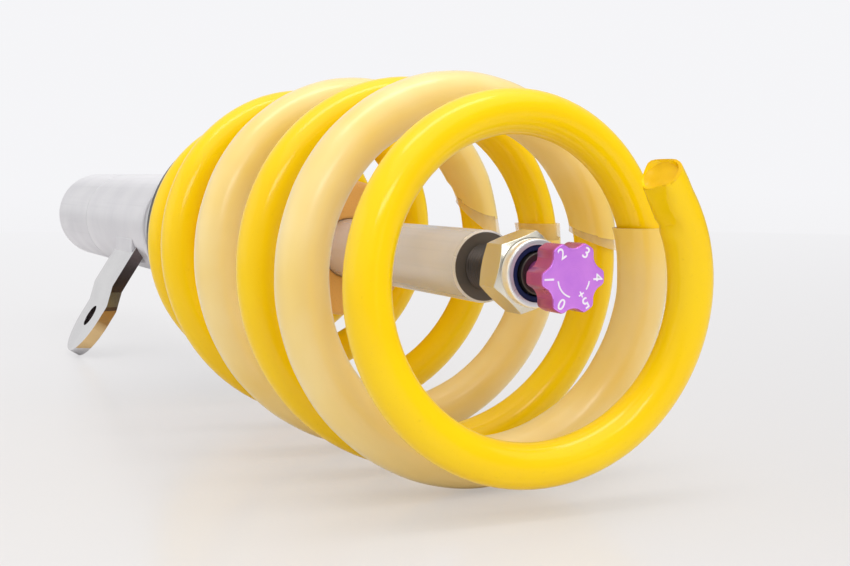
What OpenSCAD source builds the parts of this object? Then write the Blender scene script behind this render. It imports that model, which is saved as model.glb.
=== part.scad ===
// Coilover strut lying on its side: damper tube, rod, big flared coil spring and perch.
// Everything is modelled upright, from the foot of the tube up to the dial, and then
// laid down by lay_down(): the strut axis runs along X, with the dial at the +X end.

/* [Strut tube] */
// Length of the strut from the foot of the tube to the face of the dial
strut_length = 577; // [540:1:620]
// Outer diameter of the strut tube
tube_d = 55; // [50:0.5:58]
// Wall of the strut tube
tube_wall = 2.5; // [1.5:0.1:4]
// Height of the strut tube
tube_height = 352; // [345:1:358]
// Length of the tube's foot that the steering knuckle clamps
clamp_length = 88; // [70:1:92]
// Width of the locating groove above the clamped foot
clamp_groove_width = 2; // [1:0.5:3]
// Depth of the locating groove
clamp_groove_depth = 0.5; // [0.2:0.1:1]
// Thickness of the plug that closes the foot of the tube
plug_thick = 10; // [6:0.5:16]
// Depth of the drain groove turned in the plug's underside
plug_groove_depth = 1; // [0.5:0.1:2]
// Height of the gland nut's flange on top of the tube
gland_flange = 10; // [6:0.5:12]
// How far the gland nut's flange stands out past the tube
gland_lip = 1; // [0.5:0.1:3]
// Depth of the gland nut's threaded skirt inside the tube
gland_skirt = 6; // [4:0.5:12]

/* [Perch] */
// Wall of the threaded sleeve on the tube
sleeve_wall = 2.4; // [1.5:0.1:4]
// Pitch of the threaded sleeve's thread
thread_pitch = 2; // [1.5:0.25:3]
// Depth of the threaded sleeve's thread
thread_depth = 0.9; // [0.5:0.1:1.4]
// Share of the pitch that the flat of the thread's crest takes
thread_crest = 0.25; // [0.1:0.05:0.5]
// Distance from the top of the tube down to the threaded sleeve
sleeve_inset = 2; // [0:0.5:6]
// Length of the threaded sleeve
sleeve_length = 108; // [80:1:130]
// Height of the snap ring that carries the threaded sleeve
snap_ring_height = 4; // [2:0.5:8]
// How far the snap ring stands out past the threaded sleeve
snap_ring_lip = 1.5; // [0.5:0.1:4]
// Wall of the adjuster collar round the threaded sleeve
collar_wall = 10; // [7:0.5:14]
// Height of the adjuster collar
collar_height = 14; // [10:0.5:18]
// Height of the lock ring below the adjuster collar
lock_ring_height = 9; // [6:0.5:14]
// Number of spanner slots round the collar and the lock ring
spanner_slots = 8; // [4:1:12]
// Width of a spanner slot
spanner_slot_width = 8; // [4:0.5:10]
// Depth of a spanner slot
spanner_slot_depth = 4; // [2:0.5:5]
// Diameter of the collar's lock screw
lock_screw_d = 5; // [3:0.5:6]
// Height of the thrust washer on the collar
washer_height = 2; // [1:0.5:4]
// How far the spring seat stands out past the spring
seat_lip = 2.55; // [1:0.05:8]
// Thickness of the spring seat's flange
seat_flange = 6; // [4:0.5:10]
// Height of the seat's pilot inside the spring, above the flange
seat_pilot_height = 8; // [5:0.5:12]
// Wall of the seat's pilot round the threaded sleeve
pilot_wall = 2.33; // [1.5:0.01:4]
// Gap between the seat's pilot and the spring
pilot_gap = 0.65; // [0.3:0.05:1.5]
// Thickness of the pad between the seat and the spring
pad_thick = 3; // [2:0.5:5]
// Distance from the top of the tube down to the spring's resting plane on the pad
perch_inset = 23.5; // [18:0.5:40]

/* [Spring] */
// Diameter of the spring wire
wire_d = 13.5; // [11:0.1:14]
// Centreline radius of the spring at its free end
coil_r_top = 46.6; // [44:0.1:50]
// Centreline radius of the spring's wide middle coils
coil_r_mid = 58.2; // [55:0.1:62]
// Turns in which the free end flares out to the wide coils
flare_turns = 2.1; // [1.5:0.1:3]
// Turn at which the spring starts to draw in towards the seat
taper_from = 4.2; // [3.8:0.1:4.6]
// Turn at which the spring has drawn in to the seat coil
taper_to = 6.9; // [6.4:0.1:7]
// Turn at which the wire starts, ahead of the first full turn
wire_start = -0.125; // [-0.25:0.0416667:0.125]
// Turn at which the wire ends on the seat
wire_end = 7; // [6.75:0.0416667:7]
// Rise of one turn at the free end
pitch_top = 31.5; // [28:0.1:36]
// Rise of one turn at the wide middle coils
pitch_mid = 52; // [46:0.1:56]
// Gap between the wire's closed turns at the seat end
closed_gap = 0.7; // [0.5:0.1:2.5]
// Turn at which the pitch starts to open
open_from = 1.74; // [1.4:0.02:2]
// Turn at which the pitch is fully open
open_to = 5.06; // [4.6:0.02:5.1]
// Turn at which the pitch starts to close
close_from = 5.12; // [5.1:0.02:5.3]
// Turn at which the pitch is closed
close_to = 5.7; // [5.5:0.02:5.9]
// Sag of the free end below the strut axis, as the strut lies
lean_down = 7.4; // [0:0.1:9]
// Sideways lean of the free end off the strut axis
lean_side = 4.7; // [0:0.1:9]
// Rings of the wire in one turn
turn_rings = 24; // [12:12:36]

/* [Spring sleeves] */
// Wall of the clear sleeves on the wire
sleeving_wall = 1.15; // [0.8:0.05:1.6]
// Turn at which the front sleeve starts
front_sleeve_from = 0.9583333; // [0.875:0.0416667:1.25]
// Turn at which the rear sleeve starts
rear_sleeve_from = 2.9583333; // [2.875:0.0416667:3.25]
// Turns of wire that each sleeve covers
sleeving_turns = 1; // [0.75:0.0416667:1.125]
// Gap between a sleeve and the wire
sleeving_gap = 0.1; // [0.05:0.01:0.2]

/* [Bump stop] */
// Outer diameter of the bump stop
bump_d = 51; // [40:0.5:52]
// Length of the bump stop
bump_length = 68; // [50:1:80]
// Rounding of the bump stop's front edge
bump_round = 4; // [2:0.5:6]
// Depth of the bump stop's waist grooves
bump_groove = 1.5; // [0.5:0.1:3]
// Number of the bump stop's waist grooves
bump_grooves = 2; // [1:1:3]

/* [Rod] */
// Diameter of the piston rod
rod_d = 22; // [20:0.5:25]
// Distance from the dial's face back to the rod's shoulder
shoulder_drop = 46.5; // [44:0.5:50]
// Chamfer on the rod's shoulder
shoulder_chamfer = 0.6; // [0.3:0.1:1.2]
// Diameter of the threaded stud on top of the rod
stud_d = 14; // [12:0.5:16]
// Distance from the dial's face back to the end of the stud
stud_drop = 16.5; // [15:0.5:17]
// Diameter of the stud's reduced point
stud_point_d = 12; // [10:0.5:12]
// Bore down the middle of the rod
rod_bore_d = 8; // [6:0.5:9]
// Distance from the rebound stop down to the piston
piston_spacing = 24; // [10:1:30]
// Diameter of the rod's lower stud
lower_stud_d = 13; // [12:0.5:15]
// Length of the lower stud past the piston nut
stud_tail = 2; // [1:0.5:4]

/* [Damper] */
// Outer diameter of the inner tube
inner_tube_d = 40; // [36:0.5:44]
// Wall of the inner tube
inner_tube_wall = 2; // [1:0.1:3]
// Height of the rod guide's body in the strut tube
guide_height = 14; // [10:0.5:18]
// Height of the rod guide's spigot in the inner tube
guide_spigot = 6; // [4:0.5:10]
// Wall of the bush in the rod guide
bush_wall = 2; // [1:0.1:3]
// Height of the rod seal
seal_height = 4; // [3:0.5:6]
// Height of the wiper ring in the gland nut
wiper_height = 6; // [4:0.5:7]
// Wall of the wiper ring
wiper_wall = 4; // [3:0.1:5]
// Height of the piston
piston_height = 18; // [14:0.5:24]
// Height of the piston band
band_height = 8; // [4:0.5:10]
// Thickness of the piston band
band_thick = 1.5; // [1:0.1:2]
// Number of oil ports through the piston
piston_ports = 6; // [4:1:8]
// Diameter of a piston port
port_d = 4; // [2:0.5:4]
// Height of one shim in the stack
shim_height = 1; // [0.5:0.1:2]
// Number of shims in the stack
shim_count = 4; // [2:1:5]
// Diameter of the largest shim
shim_d = 31; // [28:0.5:32]
// How much smaller each next shim is
shim_step_d = 3; // [1:0.5:3]
// Width across the flats of the piston nut
piston_nut_flats = 19; // [18:0.5:22]
// Height of the piston nut
piston_nut_height = 8; // [6:0.5:12]
// Height of the rebound stop on the rod
rebound_stop_height = 12; // [8:0.5:16]
// Wall of the rebound stop
rebound_stop_wall = 5; // [3:0.1:6]
// Height of the base valve on the plug
base_valve_height = 14; // [10:0.5:20]

/* [Top nut and dial] */
// Width of the top nut across its flats
nut_flats = 21; // [20:0.5:24]
// Height of the top nut with its collar
nut_height = 14; // [12:0.5:15]
// Height of the top nut's hexagon
nut_hex_height = 10.5; // [8:0.5:11]
// Outer diameter of the top nut's rolled collar
nut_collar_d = 19.6; // [19:0.1:20.5]
// Distance from the dial's face back to the top nut's collar
nut_drop = 17.5; // [17:0.5:18]
// Turn of the top nut about the axis
nut_turn = 48; // [0:1:59]
// Outer diameter of the nylon ring in the nut
nylon_d = 16.6; // [15:0.1:17]
// Depth of the nylon ring below the collar's rim
nylon_inset = 0.6; // [0.2:0.1:1]
// Height of the nylon ring
nylon_height = 3.2; // [2:0.1:3.4]
// Diameter over the dial's lobes
dial_d = 19.4; // [18:0.1:22]
// Diameter at the root of the dial's scallops
dial_root_d = 16.2; // [15:0.1:17]
// Radius of a scallop in the dial's rim
dial_scallop_r = 4.2; // [2.5:0.1:4.5]
// Thickness of the dial
dial_height = 8; // [6:0.5:10]
// Chamfer round the dial's face
dial_chamfer = 0.6; // [0.3:0.1:1]
// Number of lobes round the dial
dial_lobes = 6; // [4:1:8]
// Turn of the dial's first lobe round the axis
dial_lobe_turn = 30; // [0:5:60]
// Length of the dial's stem
stem_length = 24; // [16:1:30]
// Diameter of the adjuster rod below the dial
adjuster_d = 5; // [3:0.5:5.5]

/* [Link bracket] */
// Thickness of the link bracket's plate
plate_thick = 6; // [4:0.5:7]
// Direction of the plate round the axis, from the side that faces down
plate_turn = -33; // [-45:0.5:-25]
// How far the plate's middle lies beside the strut axis, on the upper side
plate_shift = 12; // [6:0.5:14]
// Height of the plate's upper edge above the foot of the tube
plate_top = 205; // [180:1:220]
// Distance from the strut axis to the link hole
link_reach = 66; // [65:0.5:69]
// Diameter of the link hole
link_hole_d = 12; // [10:0.5:13]
// Distance from the strut axis to the start of the plate's joggle
joggle_reach = 47.5; // [44:0.5:48]
// Length of the joggle along the plate
joggle_run = 10.5; // [7:0.5:11]
// Offset of the plate's outer part
joggle_offset = 3; // [2:0.5:6]
// Leg of the weld beads along the plate
weld_leg = 3.5; // [2:0.5:5]
// Height of the weld beads' outer edge on the tube
weld_edge = 0.3; // [0.1:0.1:1]

/* [Edges] */
// Chamfer on the edges of turned rings
edge_chamfer = 1; // [0.5:0.1:1.5]

/* [Fits] */
// Radial clearance of sliding and turning fits
running_fit = 0.05; // [0.02:0.01:0.09]
// Radial clearance of fixed pieces that sit in one another
seat_fit = 0.02; // [0.01:0.01:0.05]
// Clearance of soft pieces
soft_gap = 0.3; // [0.2:0.05:0.5]

/* [Hidden] */
$fn = 96;
bore_run_out = 10;
weld_bite = 2;

tube_bore_d = tube_d - 2*tube_wall;
inner_bore_d = inner_tube_d - 2*inner_tube_wall;
gland_top = tube_height + gland_flange;
gland_bottom = tube_height - gland_skirt;
guide_top = gland_bottom - seal_height;
guide_bottom = guide_top - guide_height;
inner_tube_top = guide_bottom;
spigot_bottom = guide_bottom - guide_spigot;
sleeve_d = tube_d + 2*seat_fit + 2*sleeve_wall;
sleeve_top = tube_height - sleeve_inset;
sleeve_bottom = sleeve_top - sleeve_length;
perch_plane = tube_height - perch_inset;
pad_bottom = perch_plane - pad_thick;
seat_bottom = pad_bottom - seat_flange;
washer_bottom = seat_bottom - washer_height;
collar_bottom = washer_bottom - collar_height;
lock_ring_top = collar_bottom - seat_fit;
collar_bore_d = sleeve_d + 2*running_fit;
collar_d = collar_bore_d + 2*collar_wall;
wire_r = wire_d/2;
seat_pilot_d = collar_bore_d + 2*pilot_wall;
coil_r_seat = seat_pilot_d/2 + pilot_gap + wire_r;
pitch_seat = wire_d + closed_gap;
seat_d = 2*(coil_r_seat + wire_r + seat_lip);
shoulder = strut_length - shoulder_drop;
stud_end = strut_length - stud_drop;
rebound_stop_top = spigot_bottom - soft_gap;
rebound_stop_bottom = rebound_stop_top - rebound_stop_height;
piston_top = rebound_stop_bottom - piston_spacing;
piston_bottom = piston_top - piston_height;
shims_bottom = piston_bottom - shim_height*shim_count;
piston_nut_bottom = shims_bottom - piston_nut_height;
rod_foot = piston_nut_bottom - stud_tail;
nut_top = strut_length - nut_drop;
nut_bottom = nut_top - nut_height;
nut_hex_top = nut_bottom + nut_hex_height;
nylon_top = nut_top - nylon_inset;
nylon_bottom = nylon_top - nylon_height;
point_start = nylon_bottom - seat_fit;
dial_bottom = strut_length - dial_height;
stem_bottom = dial_bottom - stem_length;

// ---- the spring's law: radius, drop from the free end and lean of the wire at turn n ----
function smooth(t) = let (c = min(max(t, 0), 1)) c*c*(3 - 2*c);
function smooth_sum(t) = t <= 0 ? 0 : t >= 1 ? t - 0.5 : t*t*t - t*t*t*t/2;
function coil_radius(n) = coil_r_mid
  - (coil_r_mid - coil_r_top)*pow(max(0, 1 - n/flare_turns), 1.6)
  - (coil_r_mid - coil_r_seat)*smooth((n - taper_from)/(taper_to - taper_from));
function coil_drop(n) = pitch_top*(n - wire_start)
  + (pitch_mid - pitch_top)*(open_to - open_from)*smooth_sum((n - open_from)/(open_to - open_from))
  - (pitch_mid - pitch_seat)*(close_to - close_from)*smooth_sum((n - close_from)/(close_to - close_from));
free_length = coil_drop(wire_end);
function lean(n) = 1 - coil_drop(n)/free_length;
function wire_centre(n) = [
  lean_down*lean(n) + coil_radius(n)*sin(360*n),
  lean_side*lean(n) + coil_radius(n)*cos(360*n),
  perch_plane + free_length - coil_drop(n)];
function unit(v) = v/norm(v);
function wire_along(n) = unit(wire_centre(n + 0.01) - wire_centre(n - 0.01));
function wire_out(n) = let (o = [sin(360*n), cos(360*n), 0], t = wire_along(n)) unit(o - t*(o*t));

// ---- a six-sided tube along the wire, from turn a to turn b ----
ring_sides = 6;
function ring_count(a, b) = round((b - a)*turn_rings) + 1;
function ring(n, r) = let (c = wire_centre(n), o = wire_out(n), u = cross(wire_along(n), o))
  [for (k = [0:ring_sides - 1]) c + r*cos(60*k)*o + r*sin(60*k)*u];
function tube_points(a, b, r) = [for (i = [0:ring_count(a, b) - 1]) each ring(a + i/turn_rings, r)];
function ground(points) = [for (p = points) [p.x, p.y, max(p.z, perch_plane)]];
function side_faces(rings, first, inward) = [
  for (i = [0:rings - 2])
    for (k = [0:ring_sides - 1])
      let (k2 = (k + 1) % ring_sides, p = first + i*ring_sides, q = p + ring_sides)
        each inward
          ? [[p + k, q + k2, q + k], [p + k, p + k2, q + k2]]
          : [[p + k, q + k, q + k2], [p + k, q + k2, p + k2]]];
function start_cap(first) = [for (k = [1:ring_sides - 2]) [first, first + k, first + k + 1]];
function end_cap(first) = [for (k = [1:ring_sides - 2]) [first, first + k + 1, first + k]];
function annulus(outer, inner, at_start) = [
  for (k = [0:ring_sides - 1])
    let (k2 = (k + 1) % ring_sides)
      each at_start
        ? [[outer + k, outer + k2, inner + k2], [outer + k, inner + k2, inner + k]]
        : [[outer + k, inner + k2, outer + k2], [outer + k, inner + k, inner + k2]]];

spring_rings = ring_count(wire_start, wire_end);
spring_points = ground(tube_points(wire_start, wire_end, wire_r));
sleeving_bore_r = wire_r + sleeving_gap;
sleeving_r = sleeving_bore_r + sleeving_wall;
sleeving_rings = ring_count(0, sleeving_turns);
front_sleeve_points = tube_points(front_sleeve_from, front_sleeve_from + sleeving_turns, sleeving_r);
rear_sleeve_points = tube_points(rear_sleeve_from, rear_sleeve_from + sleeving_turns, sleeving_r);

// ---- least gap of the wire to itself, measured from ring centre to ring centre ----
wire_centres = [for (i = [0:spring_rings - 1]) wire_centre(wire_start + i/turn_rings)];
wire_gap = min([
  for (i = [0:spring_rings - 1])
    for (j = [i + turn_rings/2:1:min(i + 2*turn_rings, spring_rings - 1)])
      norm(wire_centres[i] - wire_centres[j])]) - wire_d;
echo(least_gap_of_wire_to_itself = wire_gap);

// ---- how the strut lies: coils on the ground under the axis, centred on its width ----
resting_points = concat(spring_points, front_sleeve_points, rear_sleeve_points);
axis_height = max([for (p = resting_points) p.x]);
side_left = min([for (p = resting_points) p.y]);
side_right = max([for (p = resting_points) p.y]);
axis_side = -(side_left + side_right)/2;

// ---- the link bracket: how far its tip reaches to touch the ground ----
plate_lift = joggle_offset + plate_thick/2 - plate_shift;
tip_reach = (axis_height - plate_lift*sin(-plate_turn))/cos(plate_turn);
link_tip_r = tip_reach - link_reach;
link_height = plate_top - link_tip_r;
function arc_points(r, a, b, steps) = [for (i = [0:steps]) r*[cos(a + (b - a)*i/steps), sin(a + (b - a)*i/steps)]];
echo(axis_height = axis_height, axis_side = axis_side, tip_reach = tip_reach);

module lay_down() {
  translate([-strut_length/2, axis_side, axis_height]) rotate([0, 90, 0]) children();
}

module ring_at(bottom, height, outer_d, bore_d) {
  translate([0, 0, bottom]) difference() {
    cylinder(h = height, d = outer_d);
    translate([0, 0, -1]) cylinder(h = height + 2, d = bore_d);
  }
}

module chamfered_ring(bottom, height, outer_d, bore_d, chamfer) {
  translate([0, 0, bottom]) rotate_extrude()
    polygon([
      [bore_d/2, 0], [outer_d/2 - chamfer, 0], [outer_d/2, chamfer],
      [outer_d/2, height - chamfer], [outer_d/2 - chamfer, height], [bore_d/2, height]]);
}

module around(count, turn = 0) {
  for (i = [0:count - 1]) rotate([0, 0, turn + 360*i/count]) children();
}

// ---- body of the strut ----
module strut_tube() {
  groove_bore_d = tube_d - 2*clamp_groove_depth;
  color("silver") lay_down() difference() {
    ring_at(0, tube_height, tube_d, tube_bore_d);
    ring_at(clamp_length, clamp_groove_width, tube_d + 2, groove_bore_d);
  }
}

module tube_plug() {
  color("silver") lay_down() difference() {
    cylinder(h = plug_thick, d = tube_bore_d - 2*seat_fit);
    translate([0, 0, -1]) cylinder(h = plug_groove_depth + 1, d = tube_bore_d/2);
  }
}

// ---- the sleeve's thread is drawn as rings a pitch apart ----
module threaded_sleeve() {
  crest = sleeve_d/2;
  root = crest - thread_depth;
  bore = tube_d/2 + seat_fit;
  turns = floor(sleeve_length/thread_pitch) - 1;
  plain = (sleeve_length - turns*thread_pitch)/2;
  color("silver") lay_down() translate([0, 0, sleeve_bottom]) rotate_extrude() polygon([
    [bore, 0], [root, 0],
    for (i = [0:turns - 1], step = [[root, 0], [crest, (1 - thread_crest)/2], [crest, (1 + thread_crest)/2]])
      [step[0], plain + (i + step[1])*thread_pitch],
    [root, plain + turns*thread_pitch], [root, sleeve_length], [bore, sleeve_length]]);
}

module sleeve_snap_ring() {
  color("gray") lay_down()
    chamfered_ring(sleeve_bottom - snap_ring_height, snap_ring_height, sleeve_d + 2*snap_ring_lip,
      tube_d + 2*seat_fit, edge_chamfer);
}

module gland_nut() {
  pocket_d = rod_d + 2*soft_gap + 2*wiper_wall + 2*seat_fit;
  color("dimgray") lay_down() difference() {
    union() {
      chamfered_ring(tube_height, gland_flange, tube_d + 2*gland_lip, rod_d + 2*soft_gap, edge_chamfer);
      ring_at(gland_bottom, gland_skirt, tube_bore_d - 2*seat_fit, rod_d + 2*soft_gap);
    }
    translate([0, 0, gland_top - wiper_height]) cylinder(h = wiper_height + 1, d = pocket_d);
  }
}

module wiper_ring() {
  color("black") lay_down()
    ring_at(gland_top - wiper_height, wiper_height, rod_d + 2*soft_gap + 2*wiper_wall, rod_d + 2*soft_gap);
}

module rod_seal() {
  color("black") lay_down()
    ring_at(guide_top, seal_height, tube_bore_d - 2*soft_gap, rod_d + 2*soft_gap);
}

module rod_guide() {
  bush_seat_d = rod_d + 2*running_fit + 2*bush_wall + 2*seat_fit;
  color("slategray") lay_down() union() {
    ring_at(guide_bottom, guide_height, tube_bore_d - 2*seat_fit, bush_seat_d);
    ring_at(spigot_bottom, guide_spigot, inner_bore_d - 2*seat_fit, bush_seat_d);
  }
}

module guide_bush() {
  color("darkgoldenrod") lay_down()
    ring_at(spigot_bottom, guide_spigot + guide_height, rod_d + 2*running_fit + 2*bush_wall,
      rod_d + 2*running_fit);
}

module inner_tube() {
  color("gainsboro") lay_down() ring_at(plug_thick, inner_tube_top - plug_thick, inner_tube_d, inner_bore_d);
}

module base_valve() {
  valve_port_r = inner_bore_d/4;
  color("slategray") lay_down() translate([0, 0, plug_thick]) difference() {
    cylinder(h = base_valve_height, d = inner_bore_d - 2*seat_fit);
    around(piston_ports) translate([valve_port_r, 0, -1]) cylinder(h = base_valve_height + 2, d = port_d);
  }
}

module bump_stop() {
  bore_r = rod_d/2 + soft_gap;
  outer_r = bump_d/2;
  groove_pitch = bump_length/(bump_grooves + 1);
  color("orange") lay_down() translate([0, 0, gland_top]) rotate_extrude() difference() {
    union() {
      translate([bore_r, 0]) square([outer_r - bore_r, bump_length - bump_round]);
      translate([bore_r, 0]) square([outer_r - bump_round - bore_r, bump_length]);
      translate([outer_r - bump_round, bump_length - bump_round]) circle(r = bump_round);
    }
    for (i = [1:bump_grooves])
      translate([outer_r, i*groove_pitch]) circle(r = bump_groove);
  }
}

// ---- the link bracket: a joggled strap beside the axis, with a round end, welded to the tube ----
module plate_frame() {
  rotate([0, 0, plate_turn]) children();
}

module strap_outline() {
  circle(r = link_tip_r);
  translate([-link_tip_r, -link_reach]) square([2*link_tip_r, link_reach]);
}

module plate_section() {
  half = plate_thick/2;
  joggle_end = joggle_reach + joggle_run;
  translate([0, -plate_shift]) polygon([
    [0, -half], [joggle_reach, -half], [joggle_end, joggle_offset - half],
    [tip_reach + 1, joggle_offset - half], [tip_reach + 1, joggle_offset + half],
    [joggle_end, joggle_offset + half], [joggle_reach, half], [0, half]]);
}

module link_bracket() {
  plate_side = plate_shift + plate_thick;
  color("silver") lay_down() plate_frame() difference() {
    intersection() {
      translate([0, 0, link_height - link_tip_r - 1])
        linear_extrude(height = 2*link_tip_r + 2) plate_section();
      translate([link_reach, plate_side, link_height]) rotate([90, 0, 0]) rotate([0, 0, 90])
        linear_extrude(height = 2*plate_side) mirror([0, 1, 0]) strap_outline();
    }
    cylinder(h = tube_height, r = tube_d/2 + seat_fit);
    translate([link_reach, plate_side, link_height]) rotate([90, 0, 0]) cylinder(h = 2*plate_side, d = link_hole_d);
  }
}

// ---- one bead on each side of the plate, its toe on the tube ----
module bracket_welds() {
  bead_length = 2*(link_tip_r - weld_leg);
  seat_r = tube_d/2 + seat_fit;
  function on_tube(side) = sqrt(seat_r^2 - side^2);
  color("gray") lay_down() plate_frame() translate([0, 0, link_height - bead_length/2]) difference() {
    for (side = [-1, 1]) {
      root = side*(plate_thick/2 + seat_fit) - plate_shift;
      toe = root + side*weld_leg;
      linear_extrude(height = bead_length) polygon([
        [on_tube(root) - weld_bite, root], [on_tube(root) + weld_leg, root],
        [on_tube(toe) + weld_edge, toe], [on_tube(toe) - weld_bite, toe]]);
    }
    translate([0, 0, -1]) cylinder(h = bead_length + 2, r = seat_r);
  }
}

// ---- the adjustable perch ----
module spanner_ring(bottom, height) {
  difference() {
    chamfered_ring(bottom, height, collar_d, collar_bore_d, edge_chamfer);
    around(spanner_slots)
      translate([collar_d/2 - spanner_slot_depth, -spanner_slot_width/2, bottom - 1])
        cube([spanner_slot_depth + 5, spanner_slot_width, height + 2]);
  }
}

module lock_screw_place(grow = 0) {
  screw_length = (collar_d - collar_bore_d)/2 - 1.5;
  rotate([0, 0, 180/spanner_slots]) translate([collar_bore_d/2 + 1, 0, collar_bottom + collar_height/2])
    rotate([0, 90, 0]) cylinder(h = screw_length + bore_run_out*grow, d = lock_screw_d + 2*seat_fit*grow);
}

module adjuster_collar() {
  color("dimgray") lay_down() difference() {
    spanner_ring(collar_bottom, collar_height);
    lock_screw_place(1);
  }
}

module collar_lock_screw() {
  hex_d = lock_screw_d/2;
  screw_top = collar_d/2 - 0.5;
  color("silver") lay_down() difference() {
    lock_screw_place();
    rotate([0, 0, 180/spanner_slots]) translate([screw_top - 2, 0, collar_bottom + collar_height/2])
      rotate([0, 90, 0]) cylinder(h = 5, d = hex_d, $fn = 6);
  }
}

module lock_ring() {
  color("dimgray") lay_down() spanner_ring(lock_ring_top - lock_ring_height, lock_ring_height);
}

module thrust_washer() {
  color("silver") lay_down() ring_at(washer_bottom, washer_height, collar_d - 4, collar_bore_d);
}

module spring_seat() {
  color("dimgray") lay_down() union() {
    chamfered_ring(seat_bottom, seat_flange, seat_d, collar_bore_d, edge_chamfer);
    ring_at(seat_bottom + seat_flange/2, seat_flange/2 + seat_pilot_height, seat_pilot_d, collar_bore_d);
  }
}

module seat_pad() {
  color("black") lay_down() ring_at(pad_bottom, pad_thick, seat_d - 2, seat_pilot_d + 2*seat_fit);
}

// ---- the spring and the two clear sleeves on its wire ----
module main_spring() {
  faces = concat(start_cap(0), side_faces(spring_rings, 0, false), end_cap((spring_rings - 1)*ring_sides));
  color("gold") lay_down() polyhedron(points = spring_points, faces = faces);
}

module sleeving(from, outer_points) {
  inner_points = tube_points(from, from + sleeving_turns, sleeving_bore_r);
  inner = sleeving_rings*ring_sides;
  last = inner - ring_sides;
  faces = concat(
    side_faces(sleeving_rings, 0, false), side_faces(sleeving_rings, inner, true),
    annulus(0, inner, true), annulus(last, inner + last, false));
  polyhedron(points = concat(outer_points, inner_points), faces = faces);
}

module front_spring_sleeve() {
  color("wheat") lay_down() sleeving(front_sleeve_from, front_sleeve_points);
}

module rear_spring_sleeve() {
  color("wheat") lay_down() sleeving(rear_sleeve_from, rear_sleeve_points);
}

// ---- the rod and what is on it ----
module piston_rod() {
  r = rod_d/2;
  stud_r = stud_d/2;
  point_r = stud_point_d/2;
  lower_r = lower_stud_d/2;
  color("gainsboro") lay_down() difference() {
    rotate_extrude() polygon([
      [0, rod_foot], [lower_r, rod_foot], [lower_r, piston_top], [r, piston_top],
      [r, shoulder - shoulder_chamfer], [r - shoulder_chamfer, shoulder], [stud_r, shoulder],
      [stud_r, point_start], [point_r, point_start], [point_r, stud_end], [0, stud_end]]);
    translate([0, 0, rod_foot - 1]) cylinder(h = stud_end - rod_foot + 2, d = rod_bore_d);
  }
}

module rebound_stop() {
  color("dimgray") lay_down()
    chamfered_ring(rebound_stop_bottom, rebound_stop_height,
      rod_d + 2*seat_fit + 2*rebound_stop_wall, rod_d + 2*seat_fit, edge_chamfer);
}

module piston() {
  groove_d = inner_bore_d - 2*running_fit - 2*band_thick - 2*seat_fit;
  land_gap = 0.5;
  groove_bottom = piston_bottom + (piston_height - band_height)/2;
  land_d = inner_bore_d - 2*land_gap;
  port_r = (groove_d/2 + lower_stud_d/2)/2;
  color("slategray") lay_down() difference() {
    union() {
      ring_at(piston_bottom, piston_height, groove_d, lower_stud_d + 2*seat_fit);
      ring_at(piston_bottom, groove_bottom - piston_bottom, land_d, lower_stud_d + 2*seat_fit);
      ring_at(groove_bottom + band_height, piston_top - groove_bottom - band_height, land_d,
        lower_stud_d + 2*seat_fit);
    }
    around(piston_ports) translate([port_r, 0, piston_bottom - 1]) cylinder(h = piston_height + 2, d = port_d);
  }
}

module piston_band() {
  band_d = inner_bore_d - 2*running_fit;
  groove_bottom = piston_bottom + (piston_height - band_height)/2;
  color("saddlebrown") lay_down()
    ring_at(groove_bottom + seat_fit, band_height - 2*seat_fit, band_d, band_d - 2*band_thick);
}

module piston_shims() {
  color("silver") lay_down() union() {
    for (i = [0:shim_count - 1])
      ring_at(piston_bottom - (i + 1)*shim_height, shim_height, shim_d - i*shim_step_d,
        lower_stud_d + 2*seat_fit);
  }
}

module piston_nut() {
  color("silver") lay_down() translate([0, 0, piston_nut_bottom]) difference() {
    cylinder(h = piston_nut_height, r = piston_nut_flats/2/cos(30), $fn = 6);
    translate([0, 0, -1]) cylinder(h = piston_nut_height + 2, d = lower_stud_d + 2*seat_fit);
  }
}

// ---- the top nut, its nylon ring and the dial ----
module top_nut() {
  corner_r = nut_flats/2/cos(30);
  collar_round = 1.4;
  collar_r = nut_collar_d/2;
  bearing_r = 0.95*nut_flats/2;
  bevel = 1.8;
  pocket_d = nylon_d + 2*seat_fit;
  color("tan") lay_down() difference() {
    union() {
      intersection() {
        translate([0, 0, nut_bottom]) rotate([0, 0, nut_turn])
          cylinder(h = nut_height, r = corner_r, $fn = 6);
        translate([0, 0, nut_bottom]) rotate_extrude() polygon([
          [0, 0], [bearing_r, 0], [corner_r + 1, bevel], [corner_r + 1, nut_hex_height - bevel],
          [collar_r, nut_hex_height], [0, nut_hex_height]]);
      }
      rotate_extrude() union() {
        translate([0, nut_hex_top - 1]) square([collar_r, nut_top - nut_hex_top + 1 - collar_round]);
        translate([0, nut_hex_top]) square([collar_r - collar_round, nut_top - nut_hex_top]);
        translate([collar_r - collar_round, nut_top - collar_round]) circle(r = collar_round);
      }
    }
    translate([0, 0, nut_bottom - 1]) cylinder(h = nut_height + 2, d = stud_d + 2*seat_fit);
    translate([0, 0, nylon_bottom]) cylinder(h = nut_height, d = pocket_d);
  }
}

module nylon_ring() {
  color("navy") lay_down() ring_at(nylon_bottom, nylon_height, nylon_d, stud_point_d + 2*seat_fit);
}

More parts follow.
